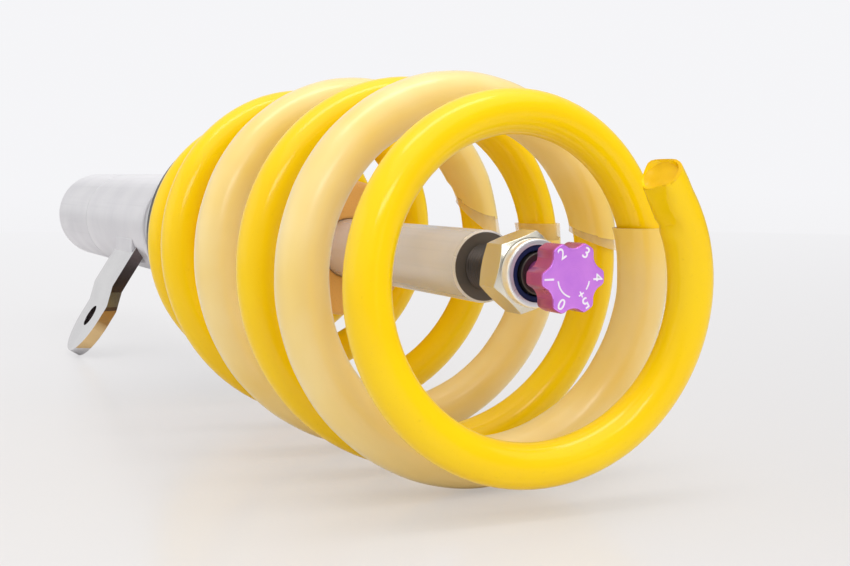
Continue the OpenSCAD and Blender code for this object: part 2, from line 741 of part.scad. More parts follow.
module rebound_dial() {
  stem_d = rod_bore_d - 2*running_fit;
  scallop_place = dial_root_d/2 + dial_scallop_r;
  face_r = dial_d/2;
  color("mediumorchid") lay_down() union() {
    difference() {
      translate([0, 0, dial_bottom]) rotate_extrude() polygon([
        [0, 0], [face_r, 0], [face_r, dial_height - dial_chamfer], [face_r - dial_chamfer, dial_height],
        [0, dial_height]]);
      around(dial_lobes, 180/dial_lobes + dial_lobe_turn)
        translate([scallop_place, 0, dial_bottom - 1]) cylinder(h = dial_height + 2, r = dial_scallop_r);
    }
    translate([0, 0, stem_bottom]) cylinder(h = stem_length + 1, d = stem_d);
  }
}

module adjuster_rod() {
  needle_length = 6;
  color("silver") lay_down() translate([0, 0, piston_bottom]) rotate_extrude() polygon([
    [0, 0], [adjuster_d/2, needle_length], [adjuster_d/2, stem_bottom - piston_bottom],
    [0, stem_bottom - piston_bottom]]);
}

strut_tube();
tube_plug();
threaded_sleeve();
sleeve_snap_ring();
link_bracket();
bracket_welds();
gland_nut();
wiper_ring();
rod_seal();
rod_guide();
guide_bush();
inner_tube();
base_valve();
bump_stop();
adjuster_collar();
lock_ring();
collar_lock_screw();
thrust_washer();
spring_seat();
seat_pad();
main_spring();
front_spring_sleeve();
rear_spring_sleeve();
piston_rod();
rebound_stop();
piston();
piston_band();
piston_shims();
piston_nut();
top_nut();
nylon_ring();
rebound_dial();
adjuster_rod();
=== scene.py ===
"""An adjustable coilover strut lying on its side on a pale studio table.

The strut is modelled upright in its own millimetre frame, with the foot of the tube at zero and
the face of the rebound dial at the top, and is then laid along the table in metres.
"""

import functools
import logging
import math
from dataclasses import dataclass
from enum import Enum
from typing import Callable, Iterable, Optional, Sequence

import bmesh
import bpy
from bmesh.types import BMEdge, BMesh, BMFace, BMVert
from bpy.types import ID, Curve, Material, Mesh, Node, NodeSocket, Object, World
from mathutils import Matrix, Vector

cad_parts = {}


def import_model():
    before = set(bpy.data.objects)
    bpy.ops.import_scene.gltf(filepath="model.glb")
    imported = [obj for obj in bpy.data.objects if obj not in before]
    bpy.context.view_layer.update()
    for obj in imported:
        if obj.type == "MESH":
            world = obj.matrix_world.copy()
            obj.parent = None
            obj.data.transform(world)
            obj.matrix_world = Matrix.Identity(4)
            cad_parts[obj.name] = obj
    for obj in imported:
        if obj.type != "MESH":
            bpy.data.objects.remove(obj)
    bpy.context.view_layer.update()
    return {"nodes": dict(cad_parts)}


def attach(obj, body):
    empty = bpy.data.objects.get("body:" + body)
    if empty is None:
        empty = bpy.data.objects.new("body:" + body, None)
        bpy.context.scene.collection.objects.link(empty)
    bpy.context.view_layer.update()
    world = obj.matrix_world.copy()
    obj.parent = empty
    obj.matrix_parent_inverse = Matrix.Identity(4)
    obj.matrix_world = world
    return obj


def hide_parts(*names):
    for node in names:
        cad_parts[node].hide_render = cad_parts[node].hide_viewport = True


LOG = logging.getLogger("coilover")
METRES_PER_MM = 0.001
MM_PER_METRE = 1000.0
WELD_MM = 1e-4
WELD_NODE_M = 2e-6
FLAT_DEG = 0.6
TUBE_DETAIL = 14
EDGE_SHARE = 0.49
DIAL_FACE = 577.0
AXIS_SIDE = -2.49846
AXIS_HEIGHT = 70.1426
LAID_DOWN = (Matrix.Scale(METRES_PER_MM, 4)
             @ Matrix.Translation((-DIAL_FACE / 2, AXIS_SIDE, AXIS_HEIGHT))
             @ Matrix.Rotation(math.radians(90.0), 4, "Y"))
AXIS_POINT = (0.0, AXIS_SIDE * METRES_PER_MM, AXIS_HEIGHT * METRES_PER_MM)
UP = (0.0, 0.0, 1.0)
ORIGIN = (0.0, 0.0, 0.0)
WHITE = (1.0, 1.0, 1.0, 1.0)

Triple = tuple[float, float, float]
Pair = tuple[float, float]
Zone = Callable[[Vector, Vector], int]


class Body(Enum):
    """The bodies that the pieces ride on."""

    STRUT = "strut"
    PERCH = "perch"
    COLLAR = "collar"
    ROD = "rod"
    DIAL = "dial"


class Slot(Enum):
    """The record's material slots."""

    TUBE = "bare_steel"
    ROD = "rod_chrome"
    SPRING = "spring_yellow"
    SLEEVING = "clear_sleeving"
    BUMP = "bump_orange"
    BRACKET = "bracket_steel"
    ALLOY = "black_alloy"
    INNER = "inner_steel"
    SEAL = "seal_rubber"
    NUT = "nut_zinc"
    NYLON = "nylon_blue"
    DIAL = "dial_purple"


class Grain(Enum):
    """Which way the tool marks of a metal run."""

    ALONG_AXIS = "along"
    ROUND_AXIS = "round"
    CONCENTRIC = "concentric"
    NONE = "none"


# ---------------------------------------------------------------- materials


def shade(colour: Sequence[float], factor: float = 1.0) -> tuple[float, float, float, float]:
    """Darkens or lightens a colour.

    Args:
        colour: Its red, green and blue.
        factor: What they are multiplied by.

    Returns:
        The colour with an alpha of 1.
    """
    return (*(min(1.0, channel * factor) for channel in colour[:3]), 1.0)


class Graph:
    """A node graph, with short calls to add and join its nodes."""

    def __init__(self, owner: Material | World, output: str = "OutputMaterial") -> None:
        """Starts an empty graph.

        Args:
            owner: The material or world that it belongs to.
            output: Its output node's type, without the ShaderNode.
        """
        owner.use_nodes = True
        self.owner = owner
        self.tree = owner.node_tree
        self.tree.nodes.clear()
        self.output = self.add(output)

    def feed(self, node: Node, place: str | int, value: object) -> None:
        """Sets an input to a value or joins a socket to it.

        Args:
            node: The node that is fed.
            place: The input's name or number.
            value: A number, colour or vector, an output socket, or a node for its first output.
        """
        if isinstance(value, Node):
            value = value.outputs[0]
        if isinstance(value, NodeSocket):
            self.tree.links.new(value, node.inputs[place])
        else:
            node.inputs[place].default_value = value

    def add(self, kind: str, *fed: object, **named: object) -> Node:
        """Adds a node.

        Args:
            kind: Its type, without the ShaderNode.
            *fed: What its first inputs are fed, in order.
            **named: What its inputs are fed by name, with _ for a space. A name in small letters
                is a setting of the node.

        Returns:
            The new node.
        """
        node = self.tree.nodes.new("ShaderNode" + kind)
        for name, value in named.items():
            if name.islower():
                setattr(node, name, value)
            else:
                self.feed(node, name.replace("_", " "), value)
        for place, value in enumerate(fed):
            self.feed(node, place, value)
        return node

    def show(self, shader: Node) -> Material | World:
        """Joins a shader to the output.

        Args:
            shader: The shader's node.

        Returns:
            The finished material or world.
        """
        self.feed(self.output, "Surface", shader)
        return self.owner

    def place(self, scale: Sequence[float] = (1.0, 1.0, 1.0),
              shift: Sequence[float] = ORIGIN) -> NodeSocket:
        """Gives the object's own coordinates, shifted and stretched.

        Args:
            scale: How many times a pattern repeats per metre along each axis.
            shift: What is taken from the coordinates first, in metres.

        Returns:
            The vector socket.
        """
        return self.add("Mapping", Vector=self.add("TexCoord").outputs["Object"],
                        Location=tuple(-far * times for far, times in zip(shift, scale)),
                        Scale=tuple(scale)).outputs[0]

    def noise(self, scale: float, detail: float, roughness: float = 0.5,
              vector: Optional[NodeSocket] = None) -> NodeSocket:
        """Adds a noise.

        Args:
            scale: Its scale.
            detail: Its octaves.
            roughness: How strong the small octaves are.
            vector: Where it is read, if not at the object's own coordinates.

        Returns:
            The noise's value.
        """
        return self.add("TexNoise", Vector=self.place() if vector is None else vector,
                        Scale=scale, Detail=detail, Roughness=roughness).outputs["Fac"]

    def length(self, vector: NodeSocket) -> NodeSocket:
        """Gives the length of a vector."""
        return self.add("VectorMath", vector, operation="LENGTH").outputs["Value"]

    def maths(self, operation: str, *values: object) -> NodeSocket:
        """Works a sum on numbers or sockets.

        Args:
            operation: What is done, by its name in the node.
            *values: The numbers or sockets, in order.

        Returns:
            The result.
        """
        return self.add("Math", *values, operation=operation).outputs[0]

    def remap(self, value: NodeSocket, low: float, high: float, to_low: float = 0.0,
              to_high: float = 1.0) -> NodeSocket:
        """Stretches a value from one range to another and clamps it.

        Args:
            value: The value.
            low: The range's start.
            high: The range's end.
            to_low: What the start becomes.
            to_high: What the end becomes.

        Returns:
            The new value.
        """
        return self.add("MapRange", value, low, high, to_low, to_high).outputs[0]

    def blend(self, amount: NodeSocket, under: object, over: object) -> NodeSocket:
        """Lays one colour over another.

        Args:
            amount: How much of the second there is.
            under: The first, a colour or a socket.
            over: The second, a colour or a socket.

        Returns:
            The blended colour.
        """
        node = self.add("Mix", amount, data_type="RGBA")
        for place, colour in ((6, under), (7, over)):
            self.feed(node, place, colour if isinstance(colour, NodeSocket) else shade(colour))
        return node.outputs[2]

    def bump(self, height: NodeSocket, strength: float, depth_mm: float,
             **under: NodeSocket) -> NodeSocket:
        """Raises a surface by a height pattern.

        Args:
            height: The pattern, from 0 to 1.
            strength: How strong it is.
            depth_mm: How deep it is.
            **under: The bump that this one is laid on, as Normal.

        Returns:
            The normal socket.
        """
        return self.add("Bump", Height=height, Strength=strength,
                        Distance=depth_mm * METRES_PER_MM, **under).outputs[0]


@dataclass(frozen=True)
class Finish:
    """What every finish has: its name and the two colours that it drifts between."""

    name: str
    colour: Triple
    second: Triple

    def graph(self) -> Graph:
        """Starts the material's graph."""
        return Graph(bpy.data.materials.new(self.name))

    def drift(self, graph: Graph, broad: NodeSocket, span: Pair = (0.3, 0.7),
              most: float = 1.0) -> NodeSocket:
        """Blends the two colours by a broad noise.

        Args:
            graph: The material's graph.
            broad: The noise.
            span: The noise's values where the second colour starts and is full.
            most: How much of the second colour there is at most.

        Returns:
            The colour.
        """
        return graph.blend(graph.remap(broad, *span, 0.0, most), self.colour, self.second)

    def build(self) -> Material:
        """Makes the material."""
        raise NotImplementedError


@dataclass(frozen=True)
class PowderCoat(Finish):
    """A glossy powder coat on steel, with orange peel and thin spots."""

    roughness: float = 0.34
    coat_roughness: float = 0.15
    peel_mm: float = 1.6
    coat: float = 0.6

    def build(self) -> Material:
        """Makes the material."""
        graph = self.graph()
        fine = graph.noise(900.0, 2.0)
        peel = graph.noise(MM_PER_METRE / self.peel_mm, 1.5, 0.4)
        spots = graph.blend(graph.remap(fine, 0.66, 0.78, 0.0, 0.35),
                            self.drift(graph, graph.noise(22.0, 2.0), (0.35, 0.7)),
                            shade(self.second, 0.82))
        return graph.show(graph.add(
            "BsdfPrincipled", Base_Color=spots,
            Roughness=graph.remap(fine, 0.3, 0.7, self.roughness - 0.05, self.roughness + 0.07),
            Coat_Weight=self.coat, Coat_Roughness=self.coat_roughness, Specular_IOR_Level=0.06,
            Normal=graph.bump(peel, 0.05, 0.05), Coat_Normal=graph.bump(peel, 0.045, 0.05)))


@dataclass(frozen=True)
class Sleeving(Finish):
    """Milky soft tubing, yellower where it lies snug on the wire."""

    alpha: float = 1.0
    snug: Triple = (0.97, 0.65, 0.02)
    snug_layer: str = "snug"

    def build(self) -> Material:
        """Makes the material."""
        graph = self.graph()
        haze = graph.noise(1500.0, 2.0)
        snug = graph.add("Attribute", attribute_name=self.snug_layer).outputs["Fac"]
        ripple = graph.bump(graph.noise(210.0, 2.0, 0.4), 0.12, 0.25)
        tone = graph.blend(snug, self.drift(graph, graph.noise(32.0, 2.0)), self.snug)
        return graph.show(graph.add(
            "BsdfPrincipled", Base_Color=tone,
            Roughness=graph.remap(haze, 0.3, 0.7, 0.30, 0.42), IOR=1.45, Alpha=self.alpha,
            Coat_Weight=0.7, Coat_Roughness=0.22, Sheen_Weight=0.3, Sheen_Roughness=0.35,
            Normal=graph.bump(haze, 0.05, 0.03, Normal=ripple)))


def tool_marks(graph: Graph, grain: Grain, grain_mm: float) -> NodeSocket:
    """Gives the pattern of tool marks.

    Args:
        graph: The material's graph.
        grain: Which way they run.
        grain_mm: How far apart they are.

    Returns:
        The pattern, from 0 to 1.
    """
    fine = MM_PER_METRE / grain_mm
    if grain is Grain.CONCENTRIC:
        radius = graph.length(graph.place((0.0, 1.0, 1.0), AXIS_POINT))
        return graph.add("TexNoise", noise_dimensions="1D", W=radius, Scale=fine,
                         Detail=2.0).outputs["Fac"]
    stretch = {
        Grain.ALONG_AXIS: (fine * 0.012, fine, fine),
        Grain.ROUND_AXIS: (fine, fine * 0.02, fine * 0.02),
        Grain.NONE: (fine, fine, fine),
    }[grain]
    return graph.noise(1.0, 3.0, 0.6, graph.place(stretch, AXIS_POINT))


@dataclass(frozen=True)
class Metal(Finish):
    """Bare or plated metal with tool marks, smudges and a little colour drift."""

    roughness: float
    grain: Grain = Grain.NONE
    grain_mm: float = 0.5
    grain_depth: float = 0.2
    smudge: float = 0.08
    metallic: float = 1.0
    streak: float = 0.0

    def build(self) -> Material:
        """Makes the material."""
        graph = self.graph()
        marks = tool_marks(graph, self.grain, self.grain_mm)
        broad = graph.noise(34.0, 3.0)
        lined = graph.blend(graph.remap(marks, 0.55, 0.8, 0.0, 0.3),
                            self.drift(graph, broad, (0.3, 0.72), 0.8), shade(self.second, 0.85))
        rough = graph.remap(broad, 0.3, 0.75, max(0.02, self.roughness - self.smudge * 0.5),
                            self.roughness + self.smudge)
        lay = {"Tangent": graph.add("CombineXYZ", 1.0)} if self.streak > 0.0 else {}
        return graph.show(graph.add(
            "BsdfPrincipled", Base_Color=lined, Metallic=self.metallic, Roughness=rough,
            Anisotropic=self.streak, Normal=graph.bump(marks, self.grain_depth, 0.03), **lay))


@dataclass(frozen=True)
class Moulded(Finish):
    """A moulded plastic, rubber or polyurethane."""

    roughness: float
    grain_mm: float = 0.6
    grain_depth: float = 0.15
    pores: float = 0.0
    sheen: float = 0.0
    specular: float = 0.5

    def build(self) -> Material:
        """Makes the material."""
        graph = self.graph()
        grain = graph.noise(MM_PER_METRE / self.grain_mm, 3.0)
        tone = graph.blend(graph.remap(graph.noise(1400.0, 2.0), 0.6, 0.75, 0.0, self.pores),
                           self.drift(graph, graph.noise(45.0, 2.0)), shade(self.second, 0.6))
        return graph.show(graph.add(
            "BsdfPrincipled", Base_Color=tone,
            Roughness=graph.remap(grain, 0.3, 0.7, self.roughness - 0.06, self.roughness + 0.08),
            Sheen_Weight=self.sheen, Specular_IOR_Level=self.specular,
            Normal=graph.bump(grain, self.grain_depth, 0.08)))


@dataclass(frozen=True)
class Anodised(Finish):
    """Dyed anodised aluminium, used on the dial in two copies: a lighter one on the turned face and
    a darker, redder one on the milled sides, which is painted shade and painted dark reflection.
    """

    roughness: float
    metallic: float
    grain_mm: float = 0.22

    def build(self) -> Material:
        """Makes the material."""
        graph = self.graph()
        marks = tool_marks(graph, Grain.CONCENTRIC, self.grain_mm)
        cloud = graph.noise(160.0, 3.0)
        tone = graph.blend(graph.remap(marks, 0.5, 0.8, 0.0, 0.25), self.drift(graph, cloud),
                           shade(self.second, 0.8))
        rough = graph.remap(cloud, 0.3, 0.7, self.roughness - 0.04, self.roughness + 0.06)
        return graph.show(graph.add("BsdfPrincipled", Base_Color=tone, Metallic=self.metallic,
                                    Roughness=rough, Normal=graph.bump(marks, 0.1, 0.02)))


class Finishes:
    """Every finish on the strut."""

    YELLOW = PowderCoat("yellow_powder_coat", (0.98, 0.66, 0.0), (0.95, 0.60, 0.0))
    CUT_END = PowderCoat("coated_sheared_end", (0.84, 0.51, 0.005), (0.76, 0.42, 0.003),
                         0.42, 0.18, 0.9, 0.2)
    CREAM = Sleeving("milky_sleeving", (0.92, 0.71, 0.29), (0.90, 0.63, 0.15))
    CLEAR_LIP = Sleeving("clear_sleeving_lip", (0.98, 0.86, 0.62), (0.96, 0.82, 0.52), 0.42)
    TUBE = Metal("drawn_stainless_tube", (0.80, 0.79, 0.81), (0.70, 0.69, 0.72), 0.40,
                 Grain.ALONG_AXIS, 3.0, 0.10, 0.06, 0.70, 0.85)
    TUBE_INSIDE = Metal("plugged_foot", (0.62, 0.62, 0.63), (0.46, 0.46, 0.47), 0.36,
                        Grain.CONCENTRIC, 0.6, 0.25)
    CHROME = Metal("hard_chrome", (0.77, 0.80, 0.92), (0.62, 0.65, 0.74), 0.20,
                   Grain.ALONG_AXIS, 2.4, 0.03, 0.06, 0.60, 0.92)
    BRIGHT_EDGE = Metal("bright_turned_edge", (0.78, 0.78, 0.81), (0.68, 0.68, 0.71), 0.26,
                        metallic=0.55)
    SHOULDER = Metal("blackened_shoulder", (0.14, 0.115, 0.095), (0.085, 0.070, 0.058), 0.36,
                     Grain.CONCENTRIC, 0.9, 0.5, 0.08, 0.25)
    STUD = Metal("blackened_thread", (0.105, 0.088, 0.077), (0.060, 0.050, 0.044), 0.40,
                 Grain.ROUND_AXIS, 0.4, 0.2, 0.08, 0.9)
    PLATE = Metal("polished_plate", (0.76, 0.75, 0.76), (0.68, 0.67, 0.69), 0.22,
                  Grain.ALONG_AXIS, 0.6, 0.12, 0.10)
    # The plate edge's tints are painted light: painted shade on the upper edge and in the hole, a
    # painted dim reflection at the joggle and a painted reflection of the yellow spring low down.
    PLATE_RIM_PAINTED_SHADE = Metal("plate_edge_painted_shade", (0.22, 0.18, 0.18), (0.12, 0.095, 0.095), 0.22,
                       Grain.ROUND_AXIS, 0.8, 0.3, 0.10)
    PLATE_JOGGLE_PAINTED_DIM_REFLECTION = Metal("plate_edge_painted_dim_reflection", (0.40, 0.40, 0.37), (0.26, 0.26, 0.24), 0.24,
                       Grain.ROUND_AXIS, 0.8, 0.3, 0.10)
    PLATE_LOWER_RIM_PAINTED_REFLECTION = Metal("plate_edge_painted_spring_reflection", (0.74, 0.52, 0.26), (0.62, 0.41, 0.18), 0.22,
                      Grain.ROUND_AXIS, 0.8, 0.3, 0.10)
    ALLOY = Metal("black_anodised_alloy", (0.055, 0.055, 0.06), (0.035, 0.035, 0.04), 0.34,
                  Grain.ROUND_AXIS, 0.5, 0.15, 0.10, 0.9)
    THREAD = Metal("bright_perch_thread", (0.80, 0.80, 0.81), (0.68, 0.68, 0.70), 0.34,
                   Grain.ROUND_AXIS, 0.4, 0.12, 0.10)
    INNER = Metal("turned_inner_steel", (0.62, 0.62, 0.64), (0.48, 0.48, 0.50), 0.28,
                  Grain.ROUND_AXIS, 0.4, 0.2, 0.08)
    ZINC = Metal("yellow_zinc", (0.75, 0.73, 0.66), (0.62, 0.575, 0.45), 0.17,
                 Grain.NONE, 1.4, 0.1, 0.10, 0.8)
    ROLLED = Metal("rolled_bright_edge", (0.95, 0.93, 0.90), (0.88, 0.85, 0.80), 0.13,
                   Grain.ROUND_AXIS, 0.5, 0.06, 0.06, 0.65)
    BRONZE = Metal("sintered_bronze", (0.55, 0.38, 0.18), (0.42, 0.28, 0.12), 0.38,
                   Grain.NONE, 0.4, 0.3)
    RUBBER = Moulded("black_rubber", (0.03, 0.03, 0.032), (0.02, 0.02, 0.021), 0.55)
    NYLON = Moulded("navy_nylon", (0.022, 0.030, 0.11), (0.014, 0.020, 0.075), 0.55, 0.8, 0.08,
                    specular=0.15)
    POLYURETHANE = Moulded("cast_polyurethane", (0.90, 0.52, 0.15), (0.84, 0.44, 0.11), 0.48,
                           0.5, 0.25, 0.35, 0.15)
    PURPLE = Anodised("purple_anodised_face", (0.75, 0.27, 0.92), (0.66, 0.22, 0.88), 0.33, 0.4)
    # The darker, redder copy of the purple anodising for the dial's sides and stem is painted shade
    # and painted dark reflection.
    DIAL_SIDE_PAINTED_SHADE = Anodised("purple_anodised_painted_shade_on_side", (0.52, 0.12, 0.40), (0.41, 0.085, 0.31),
                           0.28, 0.65)
    WHITE_MARK = Moulded("white_filled_mark", (0.90, 0.86, 0.92), (0.84, 0.79, 0.88), 0.5,
                         0.3, 0.05)


@functools.cache
def material_of(finish: Finish) -> Material:
    """Gives a finish's material.

    Args:
        finish: The finish.

    Returns:
        Its material, built at its first use.
    """
    return finish.build()


# ---------------------------------------------------------------- workshop


def linked(name: str, data: ID) -> Object:
    """Puts some data into the scene.

    Args:
        name: The new object's name.
        data: Its mesh, curve, lamp or camera.

    Returns:
        The object.
    """
    made = bpy.data.objects.new(name, data)
    bpy.context.scene.collection.objects.link(made)
    return made


def mesh_of(bm: BMesh, name: str) -> Mesh:
    """Turns a working mesh, which is freed, into mesh data.

    Args:
        bm: The working mesh.
        name: The data's name.

    Returns:
        The mesh data.
    """
    mesh = bpy.data.meshes.new(name)
    bm.to_mesh(mesh)
    bm.free()
    return mesh


def mesh_of_curve(curve: Curve) -> BMesh:
    """Turns a curve, which is removed, into a working mesh.

    Args:
        curve: The curve's data.

    Returns:
        Its mesh, with its doubled corners joined.
    """
    holder = linked("scrap_curve", curve)
    bpy.context.view_layer.update()
    bm = bmesh.new()
    bm.from_mesh(holder.to_mesh())
    holder.to_mesh_clear()
    bpy.data.objects.remove(holder)
    bpy.data.curves.remove(curve)
    bmesh.ops.remove_doubles(bm, verts=bm.verts[:], dist=WELD_MM)
    return bm


@dataclass(frozen=True)
class Corner:
    """A corner of a turned profile: its radius, its place along the axis and its rounding."""

    r: float
    z: float
    rounding: float = 0.0

    def point(self) -> Vector:
        """Gives the corner in the plane of x and z."""
        return Vector((self.r, 0.0, self.z))


def rounded_path(corners: Sequence[Corner], closed: bool, steps: int = 5) -> list[Vector]:
    """Rounds the corners of a profile.

    Args:
        corners: The profile's corners in order.
        closed: Whether the last corner joins the first.
        steps: How many edges a rounded corner has.

    Returns:
        The points of the rounded profile, in the plane of x and z.
    """
    path: list[Vector] = []
    count = len(corners)
    for i, corner in enumerate(corners):
        here = corner.point()
        if corner.rounding <= 0.0 or (not closed and i in (0, count - 1)):
            path.append(here)
            continue
        back = corners[i - 1].point() - here
        ahead = corners[(i + 1) % count].point() - here
        reach = min(corner.rounding / math.tan(back.angle(ahead) / 2),
                    back.length * EDGE_SHARE, ahead.length * EDGE_SHARE)
        start, end = here + back.normalized() * reach, here + ahead.normalized() * reach
        for t in (k / steps for k in range(steps + 1)):
            path.append(start.lerp(here, t).lerp(here.lerp(end, t), t))
    return path


def turned(*profile: tuple[float, ...], sides: int = 96, closed: bool = True) -> BMesh:
    """Turns a profile round the strut's axis.

    Args:
        *profile: Its corners: radius, place along the axis and rounding, in millimetres.
        sides: How many sides the turned piece has.
        closed: Whether the profile is a closed ring; otherwise it starts and ends on the axis.

    Returns:
        The turned mesh.
    """
    bm = bmesh.new()
    path = rounded_path([Corner(*corner) for corner in profile], closed)
    verts = [bm.verts.new(point) for point in path]
    pairs = list(zip(verts, verts[1:])) + ([(verts[-1], verts[0])] if closed else [])
    bmesh.ops.spin(bm, geom=verts + [bm.edges.new(pair) for pair in pairs], cent=ORIGIN, axis=UP,
                   angle=math.tau, steps=sides, use_merge=True)
    bmesh.ops.remove_doubles(bm, verts=bm.verts[:], dist=WELD_MM)
    bmesh.ops.recalc_face_normals(bm, faces=bm.faces[:])
    return bm


def ring(span: Pair, outer_r: float, bore_r: float, edge: float, sides: int) -> BMesh:
    """Turns a plain ring.

    Args:
        span: Where it starts and ends along the axis.
        outer_r: Its outer radius.
        bore_r: Its inner radius.
        edge: How much its edges are rounded.
        sides: How many sides it has.

    Returns:
        Its mesh.
    """
    low, high = span
    return turned((bore_r, low, edge), (outer_r, low, edge), (outer_r, high, edge),
                  (bore_r, high, edge), sides=sides)


def thread(span: Pair, crest_r: float, depth: float, pitch: float, sides: int) -> BMesh:
    """Cuts a helical thread between two planes.

    Args:
        span: Where it starts and ends along the axis.
        crest_r: The radius of its crests.
        depth: How deep its roots are.
        pitch: Its rise per turn.
        sides: How many sides a turn has.

    Returns:
        The thread's mesh.
    """
    bm = bmesh.new()
    low, high = span
    flats = ((0.0, depth), (0.08, depth), (0.42, 0.0), (0.58, 0.0), (0.92, depth), (1.0, depth))
    rows = []
    for i in range(sides * (math.ceil((high - low) / pitch) + 2) + 1):
        angle, rise = math.tau * i / sides, low - pitch + pitch * i / sides
        rows.append([bm.verts.new(((crest_r - dip) * math.cos(angle),
                                   (crest_r - dip) * math.sin(angle),
                                   rise + share * pitch)) for share, dip in flats])
    for row, following in zip(rows, rows[1:]):
        for i in range(len(flats) - 1):
            bm.faces.new((row[i], following[i], following[i + 1], row[i + 1]))
    bmesh.ops.remove_doubles(bm, verts=bm.verts[:], dist=10.0 * WELD_MM)
    cut_across(bm, low, 1.0, True)
    cut_across(bm, high, -1.0, True)
    bmesh.ops.recalc_face_normals(bm, faces=bm.faces[:])
    outward = sum(face.normal.dot(Vector((*face.calc_center_median().xy, 0.0)))
                  for face in bm.faces)
    if outward < 0.0:
        bmesh.ops.reverse_faces(bm, faces=bm.faces[:])
    return bm


def cut_across(bm: BMesh, height: float, side: float = 1.0, clear: bool = False) -> None:
    """Cuts a mesh with a level plane.

    Args:
        bm: The mesh.
        height: The plane's height.
        side: 1 for a plane that faces up, -1 for one that faces down.
        clear: Whether what lies behind the plane goes.
    """
    bmesh.ops.bisect_plane(bm, geom=bm.verts[:] + bm.edges[:] + bm.faces[:],
                           plane_co=(0.0, 0.0, height), plane_no=(0.0, 0.0, side),
                           clear_inner=clear)


def common_part(target: BMesh, tool: BMesh) -> BMesh:
    """Keeps what two closed meshes share.

    Args:
        target: The one mesh, which is freed.
        tool: The other, which is freed too.

    Returns:
        Their common part.
    """
    made = [linked(name, mesh_of(bm, name))
            for bm, name in ((target, "carve_target"), (tool, "carve_tool"))]
    modifier = made[0].modifiers.new("carve", "BOOLEAN")
    modifier.object = made[1]
    modifier.operation = "INTERSECT"
    modifier.solver = "EXACT"
    shaped = made[0].evaluated_get(bpy.context.evaluated_depsgraph_get())
    result = bmesh.new()
    result.from_mesh(shaped.to_mesh())
    shaped.to_mesh_clear()
    for scrap in made:
        mesh = scrap.data
        bpy.data.objects.remove(scrap)
        bpy.data.meshes.remove(mesh)
    bmesh.ops.remove_doubles(result, verts=result.verts[:], dist=WELD_MM)
    return result


@dataclass
class Piece:
    """A finished piece of the strut, from its mesh to its place on a body."""

    name: str
    body: Body
    slot: Slot
    finishes: Sequence[Finish]
    replaces: Sequence[str] = ()
    sharp_deg: float = 35.0
    bevel_mm: float = 0.0
    bevel_segments: int = 2
    bevel_from_deg: float = 30.0

    def ease_edges(self, made: Object) -> None:
        """Rounds the sharp edges.

        Args:
            made: The piece's object.
        """
        modifier = made.modifiers.new("edge", "BEVEL")
        modifier.width = self.bevel_mm * METRES_PER_MM
        modifier.segments = self.bevel_segments
        modifier.limit_method = "ANGLE"
        modifier.angle_limit = math.radians(self.bevel_from_deg)
        modifier.harden_normals = False
        made.modifiers.new("even_shading", "WEIGHTED_NORMAL").keep_sharp = True

    def publish(self, bm: BMesh, zone: Optional[Zone] = None, laid: bool = False) -> None:
        """Lays the mesh on the table and hands it to the frame.

        Args:
            bm: The piece's mesh, which is freed.
            zone: Chooses a face's finish from its centre and its normal.
            laid: Whether the mesh is in table metres already.
        """
        bm.normal_update()
        if zone is not None:
            for face in bm.faces:
                face.material_index = zone(face.calc_center_median(), face.normal)
        if not laid:
            bmesh.ops.transform(bm, matrix=LAID_DOWN, verts=bm.verts[:])
        bm.normal_update()
        mesh = mesh_of(bm, self.name)
        for polygon in mesh.polygons:
            polygon.use_smooth = True
        mesh.set_sharp_from_angle(angle=math.radians(self.sharp_deg))
        for finish in self.finishes:
            mesh.materials.append(material_of(finish))
        made = linked(self.name, mesh)
        if self.bevel_mm > 0.0:
            self.ease_edges(made)
        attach(made, self.body.value)
        if self.replaces:
            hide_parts(*self.replaces)
        LOG.info("%s: %d faces on %s", self.name, len(mesh.polygons), self.body.value)


def merged_copy(node: Object) -> BMesh:
    """Copies a node's mesh, joins its loose triangles and clears its flat faces.

    Args:
        node: The node's object.

    Returns:
        The copy, in table metres.
    """
    bm = bmesh.new()
    bm.from_mesh(node.data)
    bmesh.ops.remove_doubles(bm, verts=bm.verts[:], dist=WELD_NODE_M)
    bmesh.ops.dissolve_limit(bm, angle_limit=math.radians(FLAT_DEG), verts=bm.verts[:],
                             edges=bm.edges[:])
    return bm


# ---------------------------------------------------------------- the spring


def smooth(t: float) -> float:
    """Eases from 0 to 1."""
    held = min(1.0, max(0.0, t))
    return held * held * (3.0 - 2.0 * held)


def smooth_sum(t: float) -> float:
    """Gives the area under smooth() from 0 to t."""
    if t <= 0.0:
        return 0.0
    return t - 0.5 if t >= 1.0 else t ** 3 - t ** 4 / 2.0


